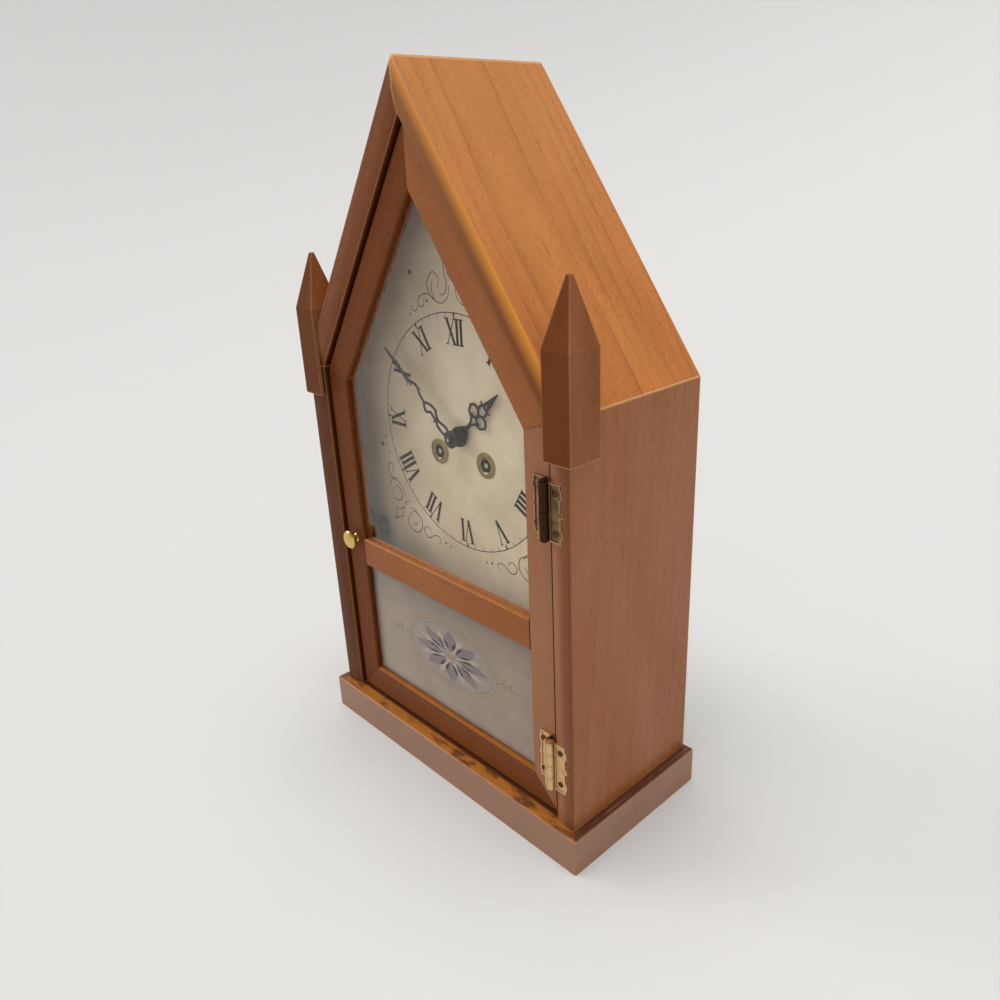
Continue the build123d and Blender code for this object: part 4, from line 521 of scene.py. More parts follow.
        # Inner face: bare wood behind the door, and painted shade that darkens with depth beside it
        side = node("Math", {0: spot["X"]}, operation="SIGN")
        outward = node("Math", {0: facing["X"], 1: side}, operation="MULTIPLY")
        inward = node("Math", {0: outward, 1: -0.5}, operation="LESS_THAN")
        door_front, door_back = (corner.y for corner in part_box("door_stile_left"))
        recess = node("Math", {0: spot["Y"], 1: door_back}, operation="LESS_THAN")
        shadow = node("MapRange", {
            0: spot["Y"], 1: foot.y, 2: door_front, 3: look["recess"] * 0.4, 4: look["recess"],
        })
        beside = node("Mix", {0: shadow, 6: colours, 7: settings.dark_stain_and_shade}, **COLOURS)
        inner = node("Mix", {0: recess, 6: settings.bare, 7: beside}, **COLOURS)
        colours = node("Mix", {0: inward, 6: colours, 7: inner}, **COLOURS)

    # Arrises, where occlusion taken from inside the board thins, take the arris colour: pale,
    # partly rubbed wear and partly a painted highlight, or dark on the door parts; and the lacquer
    edge = node("AmbientOcclusion", {"Distance": ARRIS_WIDTH}, out="AO", samples=6, inside=True,
                only_local=True)
    sharp = node("MapRange", {0: edge, 1: 0.94, 2: 0.66})
    rubbed = node("Math", {0: sharp, 1: look.get("rubbed", 0.45)}, operation="MULTIPLY")
    arris = look.get("arris", settings.rubbed)
    relief = node("Math", {0: open_pore, 1: -0.7, 2: streaks}, operation="MULTIPLY_ADD")
    satin, coat = node("MapRange", {0: streaks, 1: 0.3, 2: 0.7, 3: 0.4, 4: 0.5}), gloss
    if matt:
        satin = node("Math", {0: matt, 1: 0.45, 2: satin}, operation="MULTIPLY_ADD")
        coat = node("Math", {0: matt, 1: -gloss, 2: gloss}, operation="MULTIPLY_ADD")
    surface = node("BsdfPrincipled", {
        "Base Color": node("Mix", {0: rubbed, 6: colours, 7: arris}, **COLOURS),
        "Roughness": satin, "Specular IOR Level": gloss * 0.8,
        "Coat Weight": coat, "Coat Roughness": 0.18, "Coat IOR": 1.48,
        "Normal": node("Bump", {"Height": relief, "Strength": 0.15, "Distance": 0.08 * MM}),
    })
    node("OutputMaterial", {"Surface": surface}, out=None)
    return finish


# Streaks a metre in sawn wood and fibreboard, across and along the grain
SAWN_STREAKS = (420, 420, 30)


def plain_board(name, light, deep):
    """Unlacquered softwood or fibreboard, sawn and left dull: faint streaks and no shine."""
    finish, node, place = new_finish(name)
    cells = node("Mapping", {"Vector": place, "Scale": SAWN_STREAKS})
    streaks = node("TexNoise", {"Vector": cells, "Scale": 1.0, "Detail": 4.0, "Roughness": 0.6})
    surface = node("BsdfPrincipled", {
        "Base Color": node("ValToRGB", {"Fac": streaks}, stops=[(0.32, deep), (0.7, light)]),
        "Roughness": 0.78,
        "Normal": node("Bump", {"Height": streaks, "Strength": 0.3, "Distance": 0.1 * MM}),
    })
    node("OutputMaterial", {"Surface": surface}, out=None)
    return finish


class CLOCK_OT_case_wood(bpy.types.Operator):
    """Stains and lacquers every board of the case and the door, each with its own figure"""
    bl_idname = "clock.case_wood"
    bl_label = "Finish the Case and Door"

    def execute(self, context):
        settings = context.scene.clock_wood
        low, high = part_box("roof_board_right")
        slope = math.atan2(high.x - low.x, high.z - low.z)
        level = math.pi / 2
        keys = ("lean", "across", "deep", "tone", "dull", "figure")
        # dull is the painted grey sheen of the side faces, and tone is part stain and part painted
        # shade: the left and bottom door parts are darker
        boards = {
            "base_plinth": (level, 18, 30, 0.64, 0.55, 0.1),
            "side_board_left": (0, 26, -44, 0.66, 0.15, 0.25),
            "side_board_right": (0, -31, 52, 0.66, 0.12, 0.3),
            "roof_board_left": (slope, 34, 20, 0.95, 0.0, 0.5),
            "roof_board_right": (-slope, -38, 16, 1.0, 0.0, 0.6),
            "spire_left": (0, 24, 33, 0.44, 0.2, 0.2),
            "spire_right": (0, -27, 30, 0.52, 0.2, 0.2),
            "door_stile_left": (0, 40, 22, 0.3, 0.0, 0.25),
            "door_stile_right": (0, -35, 26, 0.74, 0.0, 0.2),
            "door_rafter_left": (slope, 28, 31, 0.33, 0.0, 0.3),
            "door_rafter_right": (-slope, 33, -27, 0.62, 0.0, 0.2),
            "door_mid_rail": (level, 25, 36, 0.61, 0.0, 0.2),
            "door_bottom_rail": (level, -30, 34, 0.34, 0.0, 0.2),
        }
        looks = {board: dict(zip(keys, values)) for board, values in boards.items()}
        # recess is the painted shade in the door's recess, front the painted shade of a front face,
        # dull_front the painted grey sheen on it, and glowing the painted light and shade of the
        # roof's front edge
        looks["base_plinth"].update(mitred=True, gloss=0.5, dull_front=0.5)
        looks["side_board_left"].update(bare_inside=True, recess=1.0, front=0.34, dull_front=0.08)
        looks["side_board_right"].update(bare_inside=True, recess=1.0, front=0.95, dull_front=0.1,
                                         joint=True)
        looks["roof_board_left"].update(bare_inside=True, recess=1.0, front=0.43, pores=0.6,
                                        dull_front=0.08, gloss=0.14)
        looks["roof_board_right"].update(bare_inside=True, recess=0.45, pores=0.5, faded=0.22,
                                         glowing=0.85, rubbed=0.8)
        looks["spire_left"]["front"] = 0.6
        looks["spire_right"]["front"] = 0.55
        for board, look in looks.items():
            # Door parts: dark arrises at their joints, and painted top light on their upper lips
            if board.startswith("door"):
                look.update(arris=settings.dark_stain_and_shade, lip=0.5)
        # Painted grey sheen on the fronts of these door parts
        for board, share in (("door_stile_right", 0.42), ("door_mid_rail", 0.05),
                             ("door_rafter_right", 0.1), ("door_bottom_rail", 0.05)):
            looks[board].update(dull_front=share, gloss=0.14)
        for board in ("door_stile_left", "door_rafter_left", "door_bottom_rail", "spire_left",
                      "spire_right", "side_board_left"):
            looks[board]["gloss"] = 0.08
        for board, look in looks.items():
            wear(cherry(board, look, settings), board)
        return {"FINISHED"}


class CLOCK_OT_inner_wood(bpy.types.Operator):
    """Finishes the back panels, the dial board, the battens and the glazing beads"""
    bl_idname = "clock.inner_wood"
    bl_label = "Finish the Inner Wood"

    def execute(self, context):
        settings = context.scene.clock_wood
        panel = plain_board("back_fibreboard", settings.panel, settings.panel_deep)
        wear(panel, "back_gable", "back_door")
        batten = plain_board("sawn_batten", settings.batten, settings.batten_deep)
        wear(batten, "dial_board", "dial_cleats")
        bead = plain_board("stained_bead", settings.deep, settings.late)
        wear(bead, "glazing_beads")
        return {"FINISHED"}


# Metals

# Heights between which a brass film goes from its share at the foot to that at the top, so that the
# hinges are darker towards the top, and between which painted shade sets in on a barrel, and the
# distances from its axis where that shade ends and is full
FILM_HEIGHTS = (60 * MM, 260 * MM)
BARREL_SHADE_HEIGHTS = (100 * MM, 200 * MM)
BARREL_SHADE_REACHES = (3.4 * MM, 2.9 * MM)


def aged_brass(name, clean, film, cover, shine, barrel=None):
    """Stamped or turned brass, lacquered long ago: a brown film clouds it and fills the recesses,
    so only the proud edges still flash. cover is the share of the film at the top of the clock and
    at its foot. Round a barrel's axis painted shade darkens the upper hinge more."""
    finish, node, place = new_finish(name)
    cloud = node("TexNoise", {
        "Vector": place, "Scale": 1 / (5 * MM), "Detail": 3.0, "Roughness": 0.5,
    })
    height = node("SeparateXYZ", {"Vector": place}, out="Z")
    low, high = FILM_HEIGHTS
    base = node("MapRange", {0: height, 1: low, 2: high, 3: cover[1], 4: cover[0]})
    recess = node("AmbientOcclusion", {"Distance": 1.8 * MM}, out="AO", samples=6,
                  only_local=True)
    proud = node("AmbientOcclusion", {"Distance": 0.5 * MM}, out="AO", samples=6, inside=True,
                 only_local=True)
    uneven = node("MapRange", {0: cloud, 1: 0.4, 2: 0.62, 3: -0.07, 4: 0.07})
    clouded = node("Math", {0: uneven, 1: 1.0, 2: base}, operation="MULTIPLY_ADD")
    if barrel:
        # Painted shade round the barrel's axis, stronger towards the top
        round_axis = node("Mapping", {
            "Vector": place, "Location": (-barrel.x, -barrel.y, 0), "Scale": (1, 1, 0),
        })
        reach = node("VectorMath", {0: round_axis}, out="Value", operation="LENGTH")
        on_barrel = node("MapRange", {0: reach, 1: BARREL_SHADE_REACHES[0], 2: BARREL_SHADE_REACHES[1]})
        upper = node("MapRange", {0: height, 1: BARREL_SHADE_HEIGHTS[0], 2: BARREL_SHADE_HEIGHTS[1], 4: 0.9})
        barrel_shade = node("Math", {0: on_barrel, 1: upper}, operation="MULTIPLY")
        clouded = node("Math", {0: clouded, 1: barrel_shade}, operation="ADD")
    hollow = node("MapRange", {0: recess, 1: 0.9, 2: 0.4})
    filled = node("Math", {0: hollow, 1: 0.6, 2: clouded}, operation="MULTIPLY_ADD")
    edge = node("MapRange", {0: proud, 1: 0.9, 2: 0.6})
    rubbed = node("Math", {0: edge, 1: 0.6}, operation="MULTIPLY")
    dirt = node("Math", {0: filled, 1: rubbed}, operation="SUBTRACT", use_clamp=True)
    surface = node("BsdfPrincipled", {
        "Base Color": node("Mix", {0: dirt, 6: clean, 7: film}, **COLOURS),
        "Metallic": 1.0,
        "Roughness": node("MapRange", {0: dirt, 1: 0.0, 2: 1.0, 3: shine, 4: 0.6}),
        "Normal": node("Bump", {"Height": cloud, "Strength": 0.1, "Distance": 0.05 * MM}),
    })
    node("OutputMaterial", {"Surface": surface}, out=None)
    return finish


def brushed_metal(name, metal, shine, along):
    """Sheet metal brushed one way: fine scratches, drawn coarser than real so that they show,
    stretch the glints across them. along scales the pattern on each axis, in scratches a metre."""
    finish, node, place = new_finish(name)
    lines = node("Mapping", {"Vector": place, "Scale": along})
    scratch = node("TexNoise", {"Vector": lines, "Scale": 1.0, "Detail": 3.0, "Roughness": 0.6})
    cloud = node("TexNoise", {"Vector": place, "Scale": 1 / (9 * MM), "Detail": 3.0})
    dull = tuple(part * 0.72 for part in metal[:3]) + (1.0,)
    surface = node("BsdfPrincipled", {
        "Base Color": node("Mix", {0: cloud, 6: metal, 7: dull}, **COLOURS),
        "Metallic": 1.0,
        "Roughness": node("MapRange", {0: scratch, 1: 0.3, 2: 0.7, 3: shine, 4: shine + 0.16}),
        "Normal": node("Bump", {"Height": scratch, "Strength": 0.12, "Distance": 0.03 * MM}),
    })
    node("OutputMaterial", {"Surface": surface}, out=None)
    return finish


def wheel_and_arbor(name, arbor, radius, settings):
    """Brass wheel driven onto a steel arbor: within radius of the arbor's line the surface is
    polished steel, and outside it cut and brushed brass."""
    finish, node, place = new_finish(name)
    centred = node("Mapping", {
        "Vector": place, "Location": (-arbor.x, 0, -arbor.z), "Scale": (1, 0, 1),
    })
    reach = node("VectorMath", {0: centred}, out="Value", operation="LENGTH")
    is_brass = node("Math", {0: reach, 1: radius}, operation="GREATER_THAN")
    ripple = node("TexNoise", {"Vector": place, "Scale": 1 / (0.8 * MM), "Detail": 3.0})
    surface = node("BsdfPrincipled", {
        "Base Color": node("Mix", {0: is_brass, 6: settings.steel, 7: settings.plate}, **COLOURS),
        "Metallic": 1.0,
        "Roughness": node("MapRange", {0: ripple, 1: 0.3, 2: 0.7, 3: 0.2, 4: 0.36}),
    })
    node("OutputMaterial", {"Surface": surface}, out=None)
    return finish


def satin_paint(name, paint, rough, grain):
    """Sprayed or moulded dark coat, satin, with a fine orange-peel skin grain wide."""
    finish, node, place = new_finish(name)
    skin = node("TexNoise", {"Vector": place, "Scale": 1 / grain, "Detail": 2.0})
    paler = tuple(min(1.0, part * 1.6 + 0.004) for part in paint[:3]) + (1.0,)
    surface = node("BsdfPrincipled", {
        "Base Color": node("Mix", {0: skin, 6: paint, 7: paler}, **COLOURS),
        "Roughness": rough, "Specular IOR Level": 0.3,
        "Normal": node("Bump", {"Height": skin, "Strength": 0.2, "Distance": 0.03 * MM}),
    })
    node("OutputMaterial", {"Surface": surface}, out=None)
    return finish


class CLOCK_OT_brass(bpy.types.Operator):
    """Ages the brass of the hinges, the knobs, the winding holes and their screws"""
    bl_idname = "clock.brass"
    bl_label = "Finish the Brass Fittings"

    def execute(self, context):
        metal = context.scene.clock_metal
        # The hinges are darker towards the top, with painted shade on the upper barrel
        worn = aged_brass("worn_stamped_brass", metal.worn, metal.tarnish, (0.8, 0.1), 0.32,
                          middle("hinge_pins"))
        wear(worn, "hinge_leaves_case", "hinge_leaves_door", "hinge_pins")
        bright = aged_brass("lacquered_turned_brass", metal.bright, metal.tarnish, (0.06, 0.06),
                            0.24)
        wear(bright, "door_knob", "back_door_knob")
        plated = aged_brass("plated_back_hinge", metal.worn, metal.tarnish, (0.2, 0.2), 0.34)
        wear(plated, "back_hinges_case", "back_hinges_door")
        bushing = aged_brass("browned_winding_bush", metal.bush, metal.tarnish, (0.35, 0.35), 0.3)
        wear(bushing, "winding_grommets")
        screw = aged_brass("browned_brass_screw", metal.dark_screw, metal.tarnish, (0.4, 0.4), 0.3)
        wear(screw, "hinge_screws_case", "hinge_screws_door", "dial_screws")
        return {"FINISHED"}


class CLOCK_OT_movement(bpy.types.Operator):
    """Finishes the plates, wheels, arbors, pendulum, hammer, rods and the catch"""
    bl_idname = "clock.movement"
    bl_label = "Finish the Movement"

    def execute(self, context):
        metal = context.scene.clock_metal
        plate = brushed_metal("brushed_plate_brass", metal.plate, 0.26, (1200, 60, 30))
        wear(plate, "front_plate", "back_plate", "plate_pillars", "pendulum",
             "going_barrel", "strike_barrel")
        steel = brushed_metal("polished_steel", metal.steel, 0.2, (500, 500, 500))
        wear(steel, "going_winding_arbor", "strike_winding_arbor", "verge_and_crutch",
             "strike_hammer", "sounding_rods", "strike_fly", "catch_plate")
        # Radius of the steel at the middle of each wheel, in mm
        wheels = {
            "going_second_wheel": 4.4, "third_wheel": 3.2, "escape_wheel": 2.4,
            "strike_second_wheel": 4.4, "strike_pin_wheel": 3.2, "strike_warning_wheel": 2.6,
            "centre_wheel": 4.6, "cannon_pinion": 1.0, "minute_wheel": 1.0, "hour_wheel": 1.0,
        }
        for wheel, radius in wheels.items():
            wear(wheel_and_arbor("cut_brass_" + wheel, middle(wheel), radius * MM, metal), wheel)
        wear(satin_paint("blackened_iron", metal.iron, 0.55, 0.9 * MM), "sounding_block")
        wear(satin_paint("moulded_catch", metal.catch, 0.42, 0.7 * MM), "magnet_catch")
        return {"FINISHED"}


# Dial

def old_lacquer(name, light, deep):
    """Card-coloured lacquer sprayed on sheet metal, decades old: soft clouds of a warmer tone,
    a fine grain and a dull gloss."""
    finish, node, place = new_finish(name)
    cloud = node("TexNoise", {"Vector": place, "Scale": 1 / (38 * MM), "Detail": 3.0})
    grain = node("TexNoise", {"Vector": place, "Scale": 1 / (0.7 * MM), "Detail": 2.0})
    uneven = node("Math", {0: grain, 1: 0.3, 2: cloud}, operation="MULTIPLY_ADD")
    surface = node("BsdfPrincipled", {
        "Base Color": node("ValToRGB", {"Fac": uneven}, stops=[(0.45, light), (0.85, deep)]),
        "Roughness": 0.46,
        "Normal": node("Bump", {"Height": grain, "Strength": 0.08, "Distance": 0.03 * MM}),
    })
    node("OutputMaterial", {"Surface": surface}, out=None)
    return finish


def printing_ink(name, ink):
    """Screen-printed ink: nearly flat and matt, a little thinner in places."""
    finish, node, place = new_finish(name)
    cover = node("TexNoise", {"Vector": place, "Scale": 1 / (1.1 * MM), "Detail": 3.0})
    thin = tuple(part * 1.6 + 0.003 for part in ink[:3]) + (1.0,)
    surface = node("BsdfPrincipled", {
        "Base Color": node("Mix", {0: cover, 6: ink, 7: thin}, **COLOURS),
        "Roughness": 0.6, "Specular IOR Level": 0.1,
    })
    node("OutputMaterial", {"Surface": surface}, out=None)
    return finish


# Letters as shares of their own width (across, from the middle) and of the numeral's height.
# Each stroke is across and up at its foot, across and up at its head, and thick or not.
LETTER_SHARES = {
    "I": [(0.0, 0.0, 0.0, 1.0, True)],
    "V": [(0.0, 0.0, -0.5, 1.0, True), (0.0, 0.0, 0.5, 1.0, False)],
    "X": [(0.5, 0.0, -0.5, 1.0, True), (-0.5, 0.0, 0.5, 1.0, False)],
}
SERIF_ENDS = {"I": (0, 1), "V": (1,), "X": (0, 1)}
LETTER_WIDTH_SHARES = {"I": 0.0, "V": 0.42, "X": 0.43}
LETTER_PITCH_SHARES = {"I": 0.225, "V": 0.5, "X": 0.5}
SERIF_SHARE = 0.055
HOUR_ANGLE = math.radians(30)
MINUTE_ANGLE = math.radians(6)
HOUR_MARK_TAPER = 0.35
INK_CLEARANCE = 0.005 * MM
NUMERALS = ("XII", "I", "II", "III", "IIII", "V", "VI", "VII", "VIII", "IX", "X", "XI")


def numeral(text, hour, centre, dial, front, back):
    """Strokes of one Roman numeral that stands on its radius, its foot towards the centre.

    A stroke runs from foot to head, its ends cut level, and each serif is a thin bar across."""
    height = dial.numeral_height
    total = sum(LETTER_PITCH_SHARES[letter] for letter in text) * height
    angle = hour * HOUR_ANGLE
    outward = np.array([math.sin(angle), math.cos(angle)])
    sideways = np.array([math.cos(angle), -math.sin(angle)])
    foot = np.array([centre.x, centre.z]) + outward * dial.numeral_foot
    shapes = []
    cursor = -total / 2
    for letter in text:
        pitch = LETTER_PITCH_SHARES[letter] * height
        width = LETTER_WIDTH_SHARES[letter] * height
        letter_middle = cursor + pitch / 2
        cursor += pitch
        for x0, z0, x1, z1, thick in LETTER_SHARES[letter]:
            stroke = dial.thick_stroke if thick else dial.thin_stroke
            ends = [(letter_middle + x * width, z * height) for x, z in ((x0, z0), (x1, z1))]
            across = stroke / 2
            outline = [
                foot + sideways * (x + side * across) + outward * z
                for (x, z), side in ((ends[0], -1), (ends[0], 1), (ends[1], 1), (ends[1], -1))
            ]
            shapes.append(slab(outline, front, back))
            for end in SERIF_ENDS[letter]:
                x, z = ends[end]
                reach = across + SERIF_SHARE * height
                inner = z + (dial.thin_stroke if end == 0 else -dial.thin_stroke)
                outline = [
                    foot + sideways * (x + side * reach) + outward * level
                    for side, level in ((-1, z), (1, z), (1, inner), (-1, inner))
                ]
                shapes.append(slab(outline, front, back))
    return shapes


# Scrollwork of the dial, in millimetres from its centre, for the left half; the right half
# mirrors it. Each line is a few points that a smooth curve joins.
CROWN_LINES = [
    [(-15.4, 99.4), (-13.0, 104.7), (-19.2, 109.3), (-25.5, 102.3), (-23.5, 94.6), (-17.8, 90.6),
     (-11.2, 89.6), (-4.6, 94.4), (-3.2, 101.5)],
    [(-20.0, 102.8), (-21.3, 97.2), (-18.4, 91.6)],
    [(-13.2, 96.6), (-10.4, 94.8), (-6.8, 97.4), (-5.4, 103.0), (-7.2, 110.5), (-7.0, 118.5)],
    [(-7.0, 118.5), (-4.3, 112.0), (-2.6, 107.5), (0.0, 104.6)],
    [(-18.4, 91.6), (-23.0, 93.7), (-29.2, 94.4), (-35.4, 91.3), (-36.6, 87.4), (-33.6, 85.2),
     (-30.6, 86.9), (-31.0, 89.8)],
    [(-44.4, 85.2), (-43.4, 82.6), (-40.8, 81.9), (-38.4, 83.4), (-37.8, 85.4)],
]
CROWN_DOTS = [(-26.9, 89.9, 1.0), (-46.4, 79.2, 0.8)]
CORNER_LINES = [
    [(-89.8, -30.2), (-88.2, -30.0), (-87.4, -32.2)],
    [(-86.0, -45.6), (-83.9, -42.6), (-86.2, -39.0), (-89.9, -40.6), (-91.2, -45.6),
     (-88.6, -50.2), (-82.6, -51.6), (-76.8, -54.6), (-73.2, -59.4), (-72.2, -64.0)],
    [(-90.4, -58.8), (-88.6, -54.2), (-84.0, -51.0), (-79.6, -52.6)],
    [(-85.6, -60.3), (-81.8, -57.0), (-77.4, -58.6), (-75.8, -63.4), (-79.2, -68.2),
     (-84.9, -68.9), (-88.0, -64.6)],
    [(-72.8, -71.6), (-72.2, -68.4), (-68.0, -67.0)],
    [(-65.9, -70.8), (-60.4, -72.0), (-57.4, -76.0)],
    [(-58.9, -80.9), (-60.8, -84.6), (-64.2, -83.2)],
    [(-68.2, -78.6), (-71.2, -83.4), (-68.6, -88.4), (-60.2, -90.6), (-53.4, -85.0),
     (-53.6, -77.6), (-57.6, -74.0), (-62.8, -73.6), (-68.2, -78.6)],
    [(-42.2, -85.4), (-43.8, -82.8), (-48.0, -82.2), (-50.9, -85.6), (-49.0, -89.6),
     (-44.4, -90.6), (-40.4, -87.8), (-36.4, -86.2), (-32.2, -87.2), (-31.2, -90.0),
     (-33.6, -91.6)],
    [(-85.2, -76.8), (-79.6, -76.0), (-74.8, -72.8), (-76.6, -77.6), (-77.8, -82.4)],
    [(-85.2, -76.8), (-85.6, -81.8), (-87.8, -86.2), (-82.4, -83.6), (-77.8, -82.4)],
]
CORNER_DOTS = [(-91.0, -18.4, 0.8), (-90.2, -24.3, 0.9), (-25.6, -89.3, 1.0), (-19.9, -90.3, 0.8)]

# Angle into the sine at which a scroll's line begins and ends, so that its ends keep some width
SCROLL_END = 0.12


def scrollwork(centre, dial, front, back):
    """Drawn scrolls and dots. A line's width is its stroke's times (1 + sin t) / 2, so it swells
    in the middle and thins at its ends."""
    shapes = []
    for side in (1, -1):
        for line in CROWN_LINES + CORNER_LINES:
            path = smooth(np.array(line) * (side * MM, MM)) + (centre.x, centre.z)
            t = np.linspace(SCROLL_END, math.pi - SCROLL_END, len(path))
            widths = dial.scroll_stroke * (1 + np.sin(t)) / 2
            shapes.append(ribbon(path, widths, front, back))
        for x, z, radius in CROWN_DOTS + CORNER_DOTS:
            middle_point = (centre.x + side * x * MM, centre.z + z * MM)
            dot = ellipse(middle_point, radius * MM, radius * MM, DOT_STEPS)
            shapes.append(slab(dot, front, back))
    return shapes


class CLOCK_OT_dial(bpy.types.Operator):
    """Lacquers the dial and prints its minute circle, marks, Roman numerals and scrollwork"""
    bl_idname = "clock.dial"
    bl_label = "Print the Dial"

    def execute(self, context):
        dial = context.scene.clock_dial
        wear(old_lacquer("aged_dial_lacquer", dial.card, dial.age), "dial_plate")
        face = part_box("dial_plate")[0].y
        front, back = face - dial.ink_depth, face - INK_CLEARANCE
        centre = middle("hand_nut")
        ink = printing_ink("numeral_ink", dial.ink)
        fine = printing_ink("fine_dial_ink", dial.fine_ink)

        turns = np.linspace(0, 2 * math.pi, CIRCLE_STEPS, endpoint=False)
        circle = np.stack([np.sin(turns), np.cos(turns)], axis=1) * dial.ring_radius
        circle += (centre.x, centre.z)
        ring = [ribbon(circle, np.full(len(circle), dial.ring_width), front, back, looped=True)]
        outer = dial.ring_radius - dial.ring_width / 2
        for minute in range(60):
            angle = minute * MINUTE_ANGLE
            way = np.array([math.sin(angle), math.cos(angle)])
            if minute % 5 == 0:
                reach, wide, taper = dial.hour_mark, dial.hour_mark_width, HOUR_MARK_TAPER
            else:
                reach, wide, taper = dial.minute_mark, dial.minute_mark_width, 1
            path = [way * radius + (centre.x, centre.z) for radius in (outer - reach, outer)]
            ring.append(ribbon(path, [wide * taper, wide], front, back))
        new_piece("dial_minute_ring", ring, ink, "case")

        shapes = [
            shape
            for hour, text in enumerate(NUMERALS)
            for shape in numeral(text, hour, centre, dial, front, back)
        ]
        new_piece("dial_numerals", shapes, ink, "case")
        new_piece("dial_scrollwork", scrollwork(centre, dial, front, back), fine, "case")
        return {"FINISHED"}


class CLOCK_OT_hands(bpy.types.Operator):
    """Paints the two serpentine hands and their nut black"""
    bl_idname = "clock.hands"
    bl_label = "Paint the Hands"

    def execute(self, context):
        paint = satin_paint("black_hand_paint", context.scene.clock_dial.hand, 0.38, 0.5 * MM)
        wear(paint, "hour_hand", "minute_hand", "hand_nut")
        return {"FINISHED"}


# Glass

def window_glass(name, glass):
    """Thin float glass, 2.5 mm: clear, nearly colourless and very slightly wavy, so its sharp
    reflections bend. They are weakened and warmed, so the print behind the pane stays dark.

    Light from the lamps passes straight through it, so what is behind the pane is lit."""
    finish, node, place = new_finish(name)
    wave = node("TexNoise", {"Vector": place, "Scale": 1 / (60 * MM), "Detail": 1.0})
    pane = node("BsdfPrincipled", {
        "Base Color": glass.tint, "IOR": 1.5, "Transmission Weight": 1.0, "Roughness": 0.0,
        "Specular Tint": glass.mirrored,
        "Normal": node("Bump", {"Height": wave, "Strength": 0.05, "Distance": 0.2 * MM}),
    })
    surface = node("MixShader", {
        "Fac": node("LightPath", out="Is Shadow Ray"),
        1: pane, 2: node("BsdfTransparent", {"Color": glass.tint}),
    })
    node("OutputMaterial", {"Surface": surface}, out=None)
    return finish


def glass_paint(name, light, deep, patch_size):
    """Thin oil paint brushed on the back of a pane: flat, slightly uneven and matt."""
    finish, node, place = new_finish(name)
    uneven = node("TexNoise", {
        "Vector": place, "Scale": 1 / patch_size, "Detail": 4.0, "Roughness": 0.6,
    })
    surface = node("BsdfPrincipled", {
        "Base Color": node("ValToRGB", {"Fac": uneven}, stops=[(0.35, light), (0.68, deep)]),
        "Roughness": 0.7,
    })
    node("OutputMaterial", {"Surface": surface}, out=None)
    return finish


def petal(centre, angle, start, reach, width):
    """Leaf outline: its half width is width sin(pi t) (1 - t / 3) at the share t of its length."""
    t = np.linspace(0, 1, 14)
    along = start + reach * t
    half = width / 2 * np.sin(math.pi * t) * (1 - t / 3)
    across = np.concatenate([half, -half[-2:0:-1]])
    along = np.concatenate([along, along[-2:0:-1]])
    way = np.array([math.cos(angle), math.sin(angle)])
    side = np.array([-way[1], way[0]])
    return np.asarray(centre) + along[:, None] * way + across[:, None] * side


def rosette_ring(centre, half_axes, petals, turn, shares):
    """Petals evenly round a unit rosette, stretched to the oval's half axes. shares are a
    petal's start, length and width as shares of them."""
    return [
        petal((0, 0), turn + place * 2 * math.pi / petals, *shares) * half_axes + centre
        for place in range(petals)
    ]


# Coats of paint behind the lower pane, from the glass backwards
LINE_COAT, PETAL_COAT, FIELD_COAT, GROUND_COAT = range(4)

# Margin of the ground under the beads, and how far the oval stands right of and above the middle
GROUND_MARGIN = 5.4 * MM
OVAL_OFFSET = (2 * MM, 1.5 * MM)

# Rosette: number of petals, and their start, length and width as shares of the oval's half axes
PETALS = 8
VIOLET_SHARES = (0.16, 0.66, 0.34)
CREAM_SHARES = (0.14, 0.6, 0.22)
BUTTON_SHARE = 0.1

RIM_WIDTH = 1.5 * MM
INNER_LINE_INSET = 3.4 * MM
INNER_LINE_WIDTH = 0.4 * MM

# Sprays at the oval's ends: the stem's points outwards and up from its end, and the leaves as a
# share of the stem's length and an angle from level
STEM_POINTS = ((0, 0), (8 * MM, 3 * MM), (17 * MM, 1 * MM))
STEM_WIDTH = 0.45 * MM
LEAVES = ((0.45, 0.9), (0.45, -0.9), (0.75, 0.7), (0.75, -0.7), (1.0, 0.0))
LEAF_SIZE = (6.5 * MM, 2.8 * MM)


